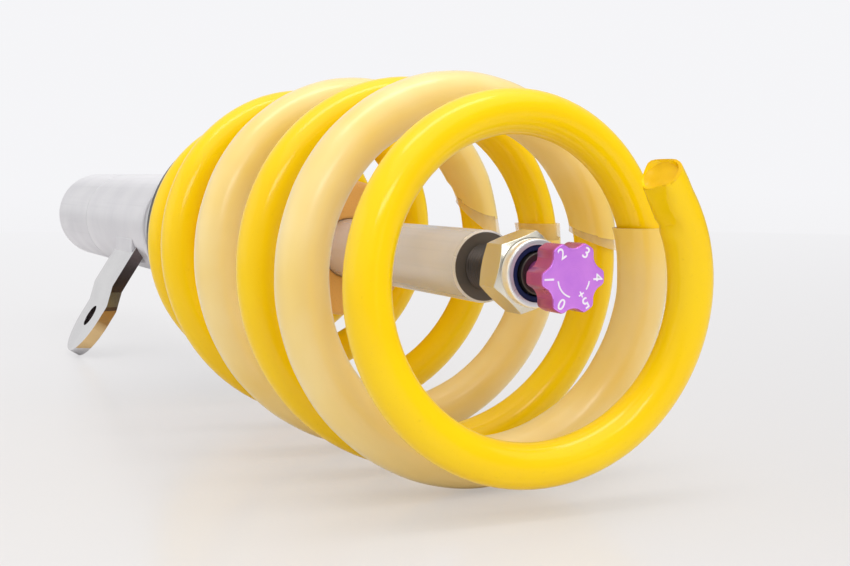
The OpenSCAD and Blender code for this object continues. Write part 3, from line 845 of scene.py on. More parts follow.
@dataclass(frozen=True)
class SpringLaw:
    """Where the wire's centre runs, turn by turn from the free end."""

    first: float = -0.125
    last: float = 7.0
    r_top: float = 46.6
    r_mid: float = 58.2
    r_seat: float = 39.7
    flare: float = 2.1
    flare_power: float = 1.6
    taper: Pair = (4.2, 6.9)
    pitch: Triple = (31.5, 52.0, 14.2)
    opens: Pair = (1.74, 5.06)
    closes: Pair = (5.12, 5.70)
    lean: Pair = (7.4, 4.7)
    seat_plane: float = 328.5
    probe: float = 0.01

    def radius(self, n: float) -> float:
        """Gives the coil's radius at turn n."""
        start, end = self.taper
        narrow = (self.r_mid - self.r_top) * max(0.0, 1.0 - n / self.flare) ** self.flare_power
        seat = (self.r_mid - self.r_seat) * smooth((n - start) / (end - start))
        return self.r_mid - narrow - seat

    def drop(self, n: float) -> float:
        """Gives how far turn n lies below the free end."""
        top, middle, seat = self.pitch
        opened, closed = self.opens[1] - self.opens[0], self.closes[1] - self.closes[0]
        return (top * (n - self.first)
                + (middle - top) * opened * smooth_sum((n - self.opens[0]) / opened)
                - (middle - seat) * closed * smooth_sum((n - self.closes[0]) / closed))

    def centre(self, n: float) -> Vector:
        """Gives the wire's centre at turn n."""
        length = self.drop(self.last)
        share = 1.0 - self.drop(n) / length
        angle = math.tau * n
        return Vector((self.lean[0] * share + self.radius(n) * math.sin(angle),
                       self.lean[1] * share + self.radius(n) * math.cos(angle),
                       self.seat_plane + length - self.drop(n)))

    def along(self, n: float) -> Vector:
        """Gives the direction of the wire at turn n."""
        return (self.centre(n + self.probe) - self.centre(n - self.probe)).normalized()


def tube_along(path: Sequence[Vector], radius: float, grow: Sequence[float]) -> BMesh:
    """Draws a round tube with open ends along a path.

    Args:
        path: The points of its centre line.
        radius: Its radius.
        grow: How much the radius is multiplied by at each point.

    Returns:
        The tube's mesh, with its faces pointing outwards.
    """
    curve = bpy.data.curves.new("tube_path", "CURVE")
    curve.dimensions = "3D"
    curve.bevel_depth = radius
    curve.bevel_resolution = TUBE_DETAIL
    spline = curve.splines.new("POLY")
    spline.points.add(len(path) - 1)
    for point, place, scale in zip(spline.points, path, grow):
        point.co = (*place, 1.0)
        point.radius = scale
    bm = mesh_of_curve(curve)
    bmesh.ops.recalc_face_normals(bm, faces=bm.faces[:])
    return bm


def open_loop(bm: BMesh, near: Vector, reach: float) -> list[BMEdge]:
    """Finds the open edges of a tube's end.

    Args:
        bm: The tube's mesh.
        near: The middle of that end.
        reach: How far from it the edges may lie.

    Returns:
        The end's loop of edges.
    """
    return [edge for edge in bm.edges if edge.is_boundary
            and ((edge.verts[0].co + edge.verts[1].co) / 2 - near).length < reach]


@dataclass
class Spring:
    """The main spring: painted wire with a sheared free end and a ground seat end.

    Lengths are in millimetres, and what is called a reach is counted in the wire's radius.
    """

    law: SpringLaw
    wire_r: float = 6.75
    rings_per_turn: int = 96
    end_reach: float = 1.3
    stretch: float = 2.0
    insets: tuple[Pair, ...] = ((0.3, 0.4), (0.7, 0.1), (0.5, -0.7), (1.3, -0.3), (1.5, 0.0))
    seat_inset: Pair = (0.6, 0.4)
    shaped_reach: float = 2.2
    far_side: Triple = (-0.278, 0.116, -0.953)
    facets: tuple[Triple, ...] = ((0.78, 0.625, 0.82), (-0.44, 0.90, 0.80),
                                  (-0.87, 0.50, 0.84), (-0.80, -0.60, 0.76))
    facet_mm: float = 9.0
    nudge: float = 1.2
    corner: Pair = (0.22, 0.97)
    slant: float = 2.2
    slant_power: float = 1.5
    slant_from: float = 0.5
    break_mm: float = 0.6
    break_reach: float = 0.85
    rough_mm: float = 0.35
    cut_mm: float = 8.5
    cut_facing: float = 0.5

    def path(self) -> list[Vector]:
        """Gives the centre line of the whole wire."""
        count = round((self.law.last - self.law.first) * self.rings_per_turn)
        step = (self.law.last - self.law.first) / count
        return [self.law.centre(self.law.first + i * step) for i in range(count + 1)]

    def close_end(self, bm: BMesh, start: Vector, out: Vector) -> None:
        """Closes the free end with a rolled lip round a dished face.

        Args:
            bm: The wire's mesh.
            start: The middle of the end.
            out: Where the end points.
        """
        loop = open_loop(bm, start, self.end_reach * self.wire_r)
        cap = bmesh.ops.contextual_create(bm, geom=loop)["faces"]
        grown = bmesh.ops.extrude_face_region(bm, geom=cap)["geom"]
        bmesh.ops.delete(bm, geom=cap, context="FACES_ONLY")
        cap = [item for item in grown if isinstance(item, BMFace)]
        bmesh.ops.translate(bm, vec=out * self.stretch,
                            verts=list({vert for face in cap for vert in face.verts}))
        for thickness, depth in self.insets:
            bmesh.ops.inset_region(bm, faces=cap, thickness=thickness, depth=depth,
                                   use_even_offset=True)
        bmesh.ops.poke(bm, faces=cap)

    def shear_end(self, bm: BMesh, start: Vector, out: Vector) -> None:
        """Flattens, slants and roughens the closed free end, as shears leave it.

        Args:
            bm: The wire's mesh.
            start: Where the wire's own length begins.
            out: Where the end points.
        """
        far = (Vector(self.far_side) - out * out.dot(Vector(self.far_side))).normalized()
        side = far.cross(out)
        high = side * self.corner[0] + far * self.corner[1]
        for vert in bm.verts:
            away = vert.co - start
            if away.length > self.shaped_reach * self.wire_r:
                continue
            front, place = away.dot(out), away / self.wire_r
            fade = min(1.0, max(0.0, 1.0 + (front - self.stretch) / self.facet_mm))
            for beside, beyond, reach in self.facets:
                facing = side * beside + far * beyond
                over = ((vert.co - start).dot(facing)
                        - self.wire_r * (1.0 - (1.0 - reach) * fade))
                if over > 0.0:
                    vert.co -= facing * over
            vert.co += side * (self.nudge * fade)
            if front <= self.slant_from:
                continue
            vert.co += out * (self.slant * max(0.0, place.dot(high)) ** self.slant_power)
            if (front > self.stretch - self.break_mm
                    and (away - out * front).length < self.break_reach * self.wire_r):
                vert.co += out * (self.rough_mm * math.sin(5.0 * place.dot(side) + 0.6)
                                  * math.cos(4.0 * place.dot(far)))

    def build(self) -> None:
        """Makes the wire."""
        path = self.path()
        start, out = path[0], -self.law.along(self.law.first)
        bm = tube_along(path, self.wire_r, [1.0] * len(path))
        self.close_end(bm, start, out)
        self.shear_end(bm, start, out)
        loop = open_loop(bm, path[-1], self.end_reach * self.wire_r)
        end = bmesh.ops.contextual_create(bm, geom=loop)["faces"]
        thickness, depth = self.seat_inset
        bmesh.ops.inset_region(bm, faces=end, thickness=thickness, depth=depth)
        for vert in bm.verts:
            vert.co.z = max(vert.co.z, self.law.seat_plane)
        bmesh.ops.recalc_face_normals(bm, faces=bm.faces[:])

        def finish_of(centre: Vector, normal: Vector) -> int:
            """Tells the sheared face from the rest of the wire."""
            return int((centre - start).length < self.cut_mm and normal.dot(out) > self.cut_facing)

        Piece("spring_wire", Body.PERCH, Slot.SPRING, (Finishes.YELLOW, Finishes.CUT_END),
              ("main_spring",)).publish(bm, finish_of)


@dataclass
class WireSleeve:
    """One soft sleeve over a turn of the wire, a little loose at its ends.

    What is a pair is given for its first and its last end. What is called a reach, and the fade
    of the lean, are counted in its outer radius.
    """

    name: str
    node: str
    law: SpringLaw
    start: float
    turns: float = 1.0
    outer_r: float = 8.0
    bore_r: float = 6.9
    bore_share: float = 0.6
    flare_mm: float = 4.0
    flare_by: float = 0.25
    clear_mm: Pair = (0.0, 3.0)
    lead_mm: Pair = (3.4, 5.0)
    level: Pair = (1.0, 0.3)
    tilt: Pair = (0.0, -0.5)
    beside: Triple = (0.0, 0.8882, 0.4594)
    snug: Pair = (0.9, 0.4)
    snug_mm: Pair = (22.0, 45.0)
    end_reach: float = 1.4
    lip_reach: float = 2.0
    lean_fade: float = 2.2
    lean_reach: float = 3.0
    rings: int = 140
    lip_rings: tuple[float, ...] = (0.0, 0.002, 0.005, 0.009, 0.991, 0.995, 0.998, 1.0)

    def grow(self, from_end: float, share: float) -> float:
        """Gives how much the sleeve stands off.

        Args:
            from_end: How far the nearer end is, in millimetres.
            share: The share of the sleeve's length.

        Returns:
            What its radius is multiplied by.
        """
        loose = 0.006 * math.sin(share * 61.0) + 0.004 * math.sin(share * 143.0 + 1.3)
        flare = max(0.0, 1.0 - from_end / self.flare_mm) ** 2
        return 1.0 + loose + self.flare_by / self.outer_r * flare

    def wall(self, path: Sequence[Vector], grow: Sequence[float]) -> BMesh:
        """Draws the outside and the bore and joins them at both ends.

        Args:
            path: The points of the centre line.
            grow: How much the outer radius is multiplied by at each point.

        Returns:
            The closed mesh.
        """
        bm = tube_along(path, self.outer_r, grow)
        bore = tube_along(path, self.bore_r,
                          [1.0 + self.bore_share * (scale - 1.0) for scale in grow])
        bmesh.ops.reverse_faces(bore, faces=bore.faces[:])
        inner = mesh_of(bore, "sleeve_bore")
        bm.from_mesh(inner)
        bpy.data.meshes.remove(inner)
        for end in (path[0], path[-1]):
            bmesh.ops.bridge_loops(bm, edges=open_loop(bm, end, self.end_reach * self.outer_r))
        bmesh.ops.recalc_face_normals(bm, faces=bm.faces[:])
        return bm

    def lean(self, bm: BMesh, end: Vector, inward: Vector, level: float, tilt: float) -> None:
        """Leans the cut of one end.

        Args:
            bm: The sleeve's mesh.
            end: The middle of the end.
            inward: Where the sleeve runs from there.
            level: How much the cut turns level.
            tilt: How much it leans beside that.
        """
        for vert in bm.verts:
            away = vert.co - end
            if away.length < self.lean_reach * self.outer_r:
                across = away - inward * away.dot(inward)
                back = max(0.0, away.dot(inward))
                fade = max(0.0, 1.0 - back / (self.lean_fade * self.outer_r))
                vert.co += inward * (fade * (tilt * across.dot(Vector(self.beside))
                                             - level * across.x / inward.x))

    def build(self) -> None:
        """Makes the sleeve, a tube with a wall."""
        per_turn = math.tau * self.law.r_mid
        first = self.start - self.lead_mm[0] / per_turn
        last = self.start + self.turns + self.lead_mm[1] / per_turn
        length = (last - first) * per_turn
        clear = (self.clear_mm[0] / length, 1.0 - self.clear_mm[1] / length)
        shares = sorted({*self.lip_rings, *clear,
                         *(i / self.rings for i in range(2, self.rings - 1))})
        path = [self.law.centre(first + share * (last - first)) for share in shares]
        bm = self.wall(path, [self.grow(min(share, 1.0 - share) * length, share)
                              for share in shares])
        ends = (path[0], path[-1])
        inwards = (self.law.along(first), -self.law.along(last))
        depths = (clear[0] * length, (1.0 - clear[1]) * length)
        snug = bm.verts.layers.float.new(Finishes.CREAM.snug_layer)
        for vert in bm.verts:
            vert[snug] = max(amount * smooth(1.0 - (vert.co - end).length / reach)
                             for end, amount, reach in zip(ends, self.snug, self.snug_mm))
        for face in bm.faces:
            centre = face.calc_center_median()
            face.material_index = int(any(
                (centre - end).length < self.lip_reach * self.outer_r
                and (centre - end).dot(inward) < depth
                for end, inward, depth in zip(ends, inwards, depths)))
        for lie in zip(ends, inwards, self.level, self.tilt):
            self.lean(bm, *lie)
        Piece(self.name, Body.PERCH, Slot.SLEEVING, (Finishes.CREAM, Finishes.CLEAR_LIP),
              (self.node,)).publish(bm)


# ---------------------------------------------------------------- rod, nut and dial


@dataclass
class DamperRod:
    """The chromed rod with its blackened shoulder and threaded stud."""

    rod_r: float = 11.0
    bore_r: float = 4.0
    foot: float = 285.7
    shoulder: float = 530.5
    chamfer: float = 0.6
    stud_r: float = 7.0
    stud_core_r: float = 6.08
    stud_end: float = 555.68
    thread_depth: float = 0.9
    pitch: float = 1.5
    point_r: float = 6.0
    point_end: float = 560.5
    lower_stud_r: float = 6.5
    lower_end: float = 253.7
    edge_facing: float = 0.3

    def publish(self, name: str, finishes: Sequence[Finish], bm: BMesh,
                sharp_deg: float = 35.0, zone: Optional[Zone] = None) -> None:
        """Publishes a piece of the rod.

        Args:
            name: Its name.
            finishes: Its finishes.
            bm: Its mesh.
            sharp_deg: The angle from which an edge is sharp.
            zone: Chooses a face's finish.
        """
        Piece(name, Body.ROD, Slot.ROD, finishes, ("piston_rod",), sharp_deg).publish(bm, zone)

    def build(self) -> None:
        """Makes the bar, the shoulder, both studs and their threads."""
        bore, end_r = self.bore_r, self.rod_r - self.chamfer
        self.publish("rod_bar", (Finishes.CHROME, Finishes.BRIGHT_EDGE), turned(
            (bore, self.foot), (self.rod_r, self.foot, 0.5),
            (self.rod_r, self.shoulder - self.chamfer), (end_r, self.shoulder),
            (bore, self.shoulder), sides=128), 20.0,
                     lambda centre, normal: int(normal.z > self.edge_facing))
        self.publish("rod_shoulder", (Finishes.SHOULDER,), ring(
            (self.shoulder - 0.3, self.shoulder + 0.05), end_r - 0.05, bore, 0.04, 128))
        self.publish("stud_core", (Finishes.STUD,), turned(
            (bore, self.shoulder - 1.0), (self.stud_core_r, self.shoulder - 1.0),
            (self.stud_core_r, self.stud_end - 0.5), (self.point_r, self.stud_end),
            (self.point_r, self.point_end, 0.5), (bore, self.point_end, 0.3), sides=64))
        self.publish("stud_thread", (Finishes.STUD,), thread(
            (self.shoulder, self.stud_end), self.stud_r, self.thread_depth, self.pitch, 64), 50.0)
        self.publish("lower_stud", (Finishes.INNER,), ring(
            (self.lower_end, self.foot + 0.5), self.lower_stud_r, bore, 0.5, 64))


@dataclass
class TopNut:
    """The zinc-plated lock nut with its rolled crown and nylon ring."""

    across_flats: float = 21.0
    bottom: float = 545.5
    hex_top: float = 556.0
    top: float = 559.5
    crown_r: float = 9.8
    bore_r: float = 7.05
    turn_deg: float = 48.0
    face_share: float = 0.965
    corner_cut: float = 1.9
    cut_heights: Pair = (1.85, 1.9)
    inward_facing: float = -0.12
    upward_facing: float = 0.8
    nylon_r: float = 8.25
    nylon_bore_r: float = 6.25
    nylon_bottom: float = 555.8

    def hexagon(self) -> BMesh:
        """Makes the hexagon with its turned corners."""
        flat_r = self.across_flats / 2
        corner_r = flat_r / math.cos(math.radians(30.0))
        face_r, past_r = flat_r * self.face_share - self.corner_cut, corner_r + 1.0
        below, above = self.cut_heights
        middle = Matrix.Translation((0.0, 0.0, (self.hex_top + self.bottom) / 2))
        prism = bmesh.new()
        bmesh.ops.create_cone(prism, cap_ends=True, segments=6, radius1=corner_r, radius2=corner_r,
                              depth=self.hex_top - self.bottom, matrix=middle
                              @ Matrix.Rotation(math.radians(self.turn_deg - 90.0), 4, "Z"))
        return common_part(prism, turned(
            (self.bore_r, self.bottom - 1.0), (face_r, self.bottom - 1.0),
            (past_r, self.bottom + below), (past_r, self.hex_top - above),
            (face_r, self.hex_top + 1.0), (self.bore_r, self.hex_top + 1.0), sides=144))

    def build(self) -> None:
        """Makes the hexagon, the crown and the nylon ring."""
        Piece("nut_hexagon", Body.ROD, Slot.NUT, (Finishes.ZINC,), ("top_nut",), 28.0,
              0.22).publish(self.hexagon())
        low, lip_r = self.hex_top - 0.6, self.nylon_r - 0.3
        crown = turned((self.nylon_r, low), (self.crown_r, low),
                       (self.crown_r, self.top - 0.1, 1.5), (lip_r, self.top, 0.3),
                       (lip_r, self.top - 0.4, 0.1), (self.nylon_r, self.top - 0.5, 0.1), sides=128)

        def finish_of(centre: Vector, normal: Vector) -> int:
            """Tells the rolled side, the wall round the nylon and the crown's face."""
            if normal.dot(Vector((*centre.xy.normalized(), 0.0))) < self.inward_facing:
                return 1
            return 2 if normal.z > self.upward_facing else 0

        Piece("nut_crown", Body.ROD, Slot.NUT,
              (Finishes.ROLLED, Finishes.NYLON, Finishes.BRIGHT_EDGE), ("top_nut",),
              50.0).publish(crown, finish_of)
        outer_r = self.nylon_r - 0.05
        Piece("nut_nylon", Body.ROD, Slot.NYLON, (Finishes.NYLON,), ("nylon_ring",), 50.0).publish(
            turned((self.nylon_bore_r, self.nylon_bottom), (outer_r, self.nylon_bottom),
                   (outer_r, self.top - 0.55), (self.nylon_bore_r, self.top - 0.4, 0.7), sides=128))


@dataclass
class Dial:
    """The rebound dial: six lobes, a dyed finish and numbered clicks."""

    outer_r: float = 10.0
    scallop_r: float = 4.2
    scallop_place: float = 12.3
    eased: float = 0.07
    eased_steps: int = 4
    rim_points: int = 240
    bottom: float = 569.0
    top: float = DIAL_FACE
    chamfer: float = 0.6
    lobes: int = 6
    lobe_turn: float = 30.0
    stem_r: float = 3.95
    stem_bottom: float = 545.0
    digit_r: float = 7.6
    digit_size: float = 3.1
    digit_scale: float = 1.38
    digit_weight: float = 0.05
    first_digit_deg: float = 240.0
    arc_r: float = 5.0
    arc_width: float = 0.42
    arcs: tuple[tuple[str, float, float], ...] = (("long_arc", 186.0, 256.0),
                                                  ("short_arc", 322.0, 350.0))
    plus_deg: float = 299.0
    plus_size: float = 2.6
    face_facing: float = 0.75
    mark_height: float = 0.06

    def rim(self, angle: float) -> float:
        """Gives the outline's radius at an angle round the axis.

        Args:
            angle: The angle in radians.

        Returns:
            The radius in millimetres.
        """
        pitch = math.tau / self.lobes
        reach = 0.0
        for k in range(-self.eased_steps, self.eased_steps + 1):
            swept = angle + k * self.eased / self.eased_steps
            off = (swept - math.radians(self.lobe_turn)) % pitch - pitch / 2
            inside = self.scallop_r ** 2 - (self.scallop_place * math.sin(off)) ** 2
            scallop = (self.scallop_place * math.cos(off) - math.sqrt(inside)
                       if inside > 0.0 else self.outer_r)
            reach += min(self.outer_r, scallop)
        return reach / (2 * self.eased_steps + 1)

    def outline(self, bm: BMesh, inset: float, height: float) -> list[BMVert]:
        """Draws the lobed outline at a height.

        Args:
            bm: The mesh that it is added to.
            inset: How far it lies inside the knob's side.
            height: Where it lies along the axis.

        Returns:
            Its corners in order.
        """
        angles = [math.tau * i / self.rim_points for i in range(self.rim_points)]
        return [bm.verts.new(((self.rim(a) - inset) * math.cos(a),
                              (self.rim(a) - inset) * math.sin(a), height)) for a in angles]

    def knob(self) -> BMesh:
        """Stacks outlines into the knob, with a rounded front edge."""
        bm = bmesh.new()
        levels = [(0.6, self.bottom), (0.3, self.bottom), (0.0, self.bottom + 0.3)]
        for turned_in in (math.radians(15.0 * step) for step in range(7)):
            levels.append((self.chamfer * (1.0 - math.cos(turned_in)),
                           self.top - self.chamfer * (1.0 - math.sin(turned_in))))
        levels.append((self.chamfer + 0.5, self.top))
        loops = [self.outline(bm, inset, height) for inset, height in levels]
        for lower, upper in zip(loops, loops[1:]):
            for i, vert in enumerate(lower):
                j = (i + 1) % len(lower)
                bm.faces.new((vert, lower[j], upper[j], upper[i]))
        bm.faces.new(loops[-1])
        bm.faces.new(loops[0][::-1])
        return bm

    def mark(self, text: str, at_deg: float, radius: float, size: float) -> BMesh:
        """Makes one raised figure that reads from the dial's centre outwards.

        Args:
            text: The figure.
            at_deg: Where it stands on the face, counted as seen from the front.
            radius: How far from the centre it stands.
            size: Its height.

        Returns:
            Its mesh in the strut's frame.
        """
        curve = bpy.data.curves.new("figure", "FONT")
        curve.body = text
        curve.size = size * self.digit_scale
        curve.extrude = self.mark_height
        curve.offset = self.digit_weight
        curve.align_x = "CENTER"
        curve.align_y = "CENTER"
        bm = mesh_of_curve(curve)
        place = (Matrix.Translation((0.0, 0.0, self.top))
                 @ Matrix.Rotation(math.radians(90.0), 4, "Z")
                 @ Matrix.Rotation(math.radians(at_deg - 90.0), 4, "Z")
                 @ Matrix.Translation((0.0, radius, 0.0)))
        bmesh.ops.transform(bm, matrix=place, verts=bm.verts[:])
        return bm

    def arc(self, start_deg: float, end_deg: float) -> BMesh:
        """Makes a raised arc on the face.

        Args:
            start_deg: Where it starts, counted as seen from the front.
            end_deg: Where it ends.

        Returns:
            Its mesh in the strut's frame.
        """
        bm = bmesh.new()
        start = math.radians(start_deg + 90.0)
        inner_r, outer_r = self.arc_r - self.arc_width / 2, self.arc_r + self.arc_width / 2
        corners = ((inner_r, 0.0), (outer_r, 0.0), (outer_r, self.mark_height),
                   (inner_r, self.mark_height))
        face = bm.faces.new([bm.verts.new((r * math.cos(start), r * math.sin(start), self.top + z))
                             for r, z in corners])
        bmesh.ops.spin(bm, geom=[face], cent=ORIGIN, axis=UP,
                       angle=math.radians(end_deg - start_deg), steps=24)
        bmesh.ops.recalc_face_normals(bm, faces=bm.faces[:])
        return bm

    def marks(self) -> dict[str, BMesh]:
        """Gives the figures, the plus sign and the arcs by name."""
        pitch = 360.0 / self.lobes
        made = {f"click_{i}": self.mark(str(i), (self.first_digit_deg - pitch * i) % 360.0,
                                        self.digit_r, self.digit_size) for i in range(self.lobes)}
        made["plus_sign"] = self.mark("+", self.plus_deg, self.arc_r - 0.2, self.plus_size)
        for name, start_deg, end_deg in self.arcs:
            made[name] = self.arc(start_deg, end_deg)
        return made

    def build(self) -> None:
        """Makes the knob, its stem and its marks."""
        # Faces turned away from the dial's front get the darker copy of the purple, which is
        # painted shade.
        Piece("dial_knob", Body.DIAL, Slot.DIAL, (Finishes.PURPLE, Finishes.DIAL_SIDE_PAINTED_SHADE),
              ("rebound_dial",), 40.0).publish(
                  self.knob(), lambda centre, normal: int(normal.z < self.face_facing))
        collar_r, seat = self.stem_r + 0.9, self.bottom + 0.2
        Piece("dial_stem", Body.DIAL, Slot.DIAL, (Finishes.DIAL_SIDE_PAINTED_SHADE,),
              ("rebound_dial",)).publish(turned(
                  (0.0, self.stem_bottom), (self.stem_r, self.stem_bottom, 0.3),
                  (self.stem_r, self.bottom - 2.0, 0.3), (collar_r, self.bottom - 0.9, 0.3),
                  (collar_r, seat), (0.0, seat), sides=48, closed=False))
        for name, bm in self.marks().items():
            Piece(f"dial_{name}", Body.DIAL, Slot.DIAL, (Finishes.WHITE_MARK,)).publish(bm)


# ---------------------------------------------------------------- tube, stop, bracket and perch


@dataclass
class BumpStop:
    """The cast polyurethane bump stop on the rod."""

    bottom: float = 362.0
    top: float = 430.0
    outer_r: float = 25.5
    bore_r: float = 11.05
    front_round: float = 4.0
    grooves: int = 2
    groove: float = 1.5
    groove_half: Pair = (1.9, 0.9)

    def build(self) -> None:
        """Makes the stop."""
        pitch = (self.top - self.bottom) / (self.grooves + 1)
        deep_r, (wide, narrow) = self.outer_r - self.groove, self.groove_half
        profile = [(self.bore_r, self.bottom, 0.6), (self.outer_r, self.bottom, 1.2)]
        for at in (self.bottom + i * pitch for i in range(1, self.grooves + 1)):
            profile += [(self.outer_r, at - wide, 0.6), (deep_r, at - narrow, 0.9),
                        (deep_r, at + narrow, 0.9), (self.outer_r, at + wide, 0.6)]
        profile += [(self.outer_r, self.top, self.front_round), (self.bore_r, self.top, 1.2)]
        Piece("bump_stop_body", Body.STRUT, Slot.BUMP, (Finishes.POLYURETHANE,), ("bump_stop",),
              60.0).publish(turned(*profile, sides=128))


@dataclass
class StrutTube:
    """The drawn tube with its clamp groove and plugged foot."""

    length: float = 352.0
    outer_r: float = 27.5
    wall: float = 2.5
    groove: Pair = (88.0, 90.0)
    groove_depth: float = 0.2

    def build(self) -> None:
        """Makes the tube."""
        low, high = self.groove
        outer, inner = self.outer_r, self.outer_r - self.wall
        deep = outer - self.groove_depth
        Piece("tube_shell", Body.STRUT, Slot.TUBE, (Finishes.TUBE,), ("strut_tube",)).publish(
            turned((inner, 0.0, 0.4), (outer, 0.0, 0.9), (outer, low, 0.15), (deep, low, 0.15),
                   (deep, high, 0.15), (outer, high, 0.15), (outer, self.length, 0.6),
                   (inner, self.length, 0.3), sides=160))


@dataclass
class LinkBracket:
    """The joggled link plate, in table metres."""

    plate: Object
    normal: Triple = (0.0, 0.838671, -0.544639)
    broad_facing: float = 0.7
    hole: Triple = (-0.105032, -0.045993, 0.019692)
    hole_reach: float = 0.0085
    # Heights in table metres where the painted shade and painted reflections on the plate's edge
    # change.
    bands: tuple[float, ...] = (0.0055, 0.0255, 0.0275, 0.0352)
    band_finishes: tuple[int, ...] = (0, 3, 1, 2, 1)

    def build(self) -> None:
        """Makes the plate with eased edges, cut across at the heights where the painted shade and
        painted reflections on its edge change.
        """
        across, hole = Vector(self.normal), Vector(self.hole)
        bm = merged_copy(self.plate)
        for height in self.bands:
            cut_across(bm, height)

        def finish_of(centre: Vector, normal: Vector) -> int:
            """Tells the broad faces, the hole and the edge's lengths of painted shade, painted dim
            reflection and painted reflection of the yellow spring; the hole gets painted shade too.
            """
            if abs(normal.dot(across)) > self.broad_facing:
                return 0
            if (centre - hole).length < self.hole_reach:
                return 1
            return self.band_finishes[sum(centre.z > height for height in self.bands)]

        Piece("link_plate", Body.STRUT, Slot.BRACKET,
              (Finishes.PLATE, Finishes.PLATE_RIM_PAINTED_SHADE, Finishes.PLATE_JOGGLE_PAINTED_DIM_REFLECTION, Finishes.PLATE_LOWER_RIM_PAINTED_REFLECTION),
              ("link_bracket",), 32.0, 0.5, 3).publish(bm, finish_of, True)


@dataclass
class Perch:
    """The threaded sleeve on the tube."""

    sleeve_r: float = 29.92
    bore_r: float = 27.5
    bottom: float = 242.0
    top: float = 350.0
    pitch: float = 2.0
    thread_depth: float = 1.0
    thread_inset: float = 0.6

    def build(self) -> None:
        """Makes the sleeve's core and its thread."""
        Piece("perch_sleeve_core", Body.STRUT, Slot.ALLOY, (Finishes.THREAD,),
              ("threaded_sleeve",)).publish(ring(
                  (self.bottom, self.top), self.sleeve_r - self.thread_depth + 0.02,
                  self.bore_r + 0.05, 0.3, 128))
        Piece("perch_sleeve_thread", Body.STRUT, Slot.ALLOY, (Finishes.THREAD,),
              ("threaded_sleeve",), 50.0).publish(thread(
                  (self.bottom + self.thread_inset, self.top - self.thread_inset), self.sleeve_r,
                  self.thread_depth, self.pitch, 72))


@dataclass
class EasedNode:
    """A node whose shape is kept, copied with eased edges."""

    node: str
    body: Body
    slot: Slot
    finish: Finish
    edge_mm: float

    def build(self, nodes: dict[str, Object]) -> None:
        """Makes the eased copy.

        Args:
            nodes: The frame's nodes by name.
        """
        Piece(f"{self.node}_eased", self.body, self.slot, (self.finish,), (self.node,), 32.0,
              self.edge_mm).publish(merged_copy(nodes[self.node]), laid=True)


EASED = (
    EasedNode("tube_plug", Body.STRUT, Slot.TUBE, Finishes.TUBE_INSIDE, 0.3),
    EasedNode("sleeve_snap_ring", Body.STRUT, Slot.INNER, Finishes.TUBE, 0.3),
    EasedNode("bracket_welds", Body.STRUT, Slot.BRACKET, Finishes.TUBE, 1.4),
    EasedNode("gland_nut", Body.STRUT, Slot.ALLOY, Finishes.ALLOY, 0.4),
    EasedNode("adjuster_collar", Body.COLLAR, Slot.ALLOY, Finishes.ALLOY, 0.4),
    EasedNode("lock_ring", Body.COLLAR, Slot.ALLOY, Finishes.ALLOY, 0.4),
    EasedNode("thrust_washer", Body.PERCH, Slot.INNER, Finishes.INNER, 0.25),
    EasedNode("spring_seat", Body.PERCH, Slot.ALLOY, Finishes.ALLOY, 0.5),
    EasedNode("seat_pad", Body.PERCH, Slot.SEAL, Finishes.RUBBER, 0.4),
)

DRESSED: dict[Finish, tuple[str, ...]] = {
    Finishes.RUBBER: ("wiper_ring", "rod_seal"),
    Finishes.BRONZE: ("guide_bush", "piston_band"),
    Finishes.INNER: ("rod_guide", "inner_tube", "base_valve", "collar_lock_screw", "rebound_stop",
                     "piston", "piston_shims", "piston_nut", "adjuster_rod"),
}


def dress_nodes(nodes: dict[str, Object]) -> None:
    """Gives each kept node its finish.

    Args:
        nodes: The frame's nodes by name.
    """
    for finish, names in DRESSED.items():
        for name in names:
            nodes[name].data.materials.clear()
            nodes[name].data.materials.append(material_of(finish))
            LOG.info("%s: dressed in %s", name, finish.name)


# ---------------------------------------------------------------- studio


def aimed(place: Sequence[float], along: Vector) -> Matrix:
    """Places something that looks along its own -Z.

    Args:
        place: Where it stands.
        along: Where it looks.

    Returns:
        Its matrix.
    """
    return Matrix.Translation(place) @ along.to_track_quat("-Z", "Y").to_matrix().to_4x4()


@dataclass(frozen=True)
class SoftBox:
    """A studio soft box: an area lamp aimed at the strut."""

    name: str
    place: Triple
    size: Pair
    power: float
    target: Triple = (0.08, 0.0, 0.07)
    mirrored: bool = True

    def build(self) -> None:
        """Hangs the lamp, kept out of reflections where it isn't mirrored."""
        lamp = bpy.data.lights.new(self.name, "AREA")
        lamp.shape = "RECTANGLE"
        lamp.size, lamp.size_y = self.size
        lamp.energy = self.power
        holder = linked(self.name, lamp)
        holder.visible_glossy = self.mirrored
        holder.matrix_world = aimed(self.place, Vector(self.target) - Vector(self.place))


@dataclass(frozen=True)
class Skylight:
    """A very broad light from above, the same all over the table."""

    strength: float = 0.8
    spread_deg: float = 80.0
    tilt_deg: Pair = (-8.0, 14.0)
    height: float = 3.0

    def build(self) -> None:
        """Hangs the light."""
        lamp = bpy.data.lights.new("skylight", "SUN")
        lamp.energy = self.strength
        lamp.angle = math.radians(self.spread_deg)
        across, along = (math.radians(tilt) for tilt in self.tilt_deg)
        linked("skylight", lamp).matrix_world = (
            Matrix.Translation((0.0, 0.0, self.height)) @ Matrix.Rotation(across, 4, "X")
            @ Matrix.Rotation(along, 4, "Y"))


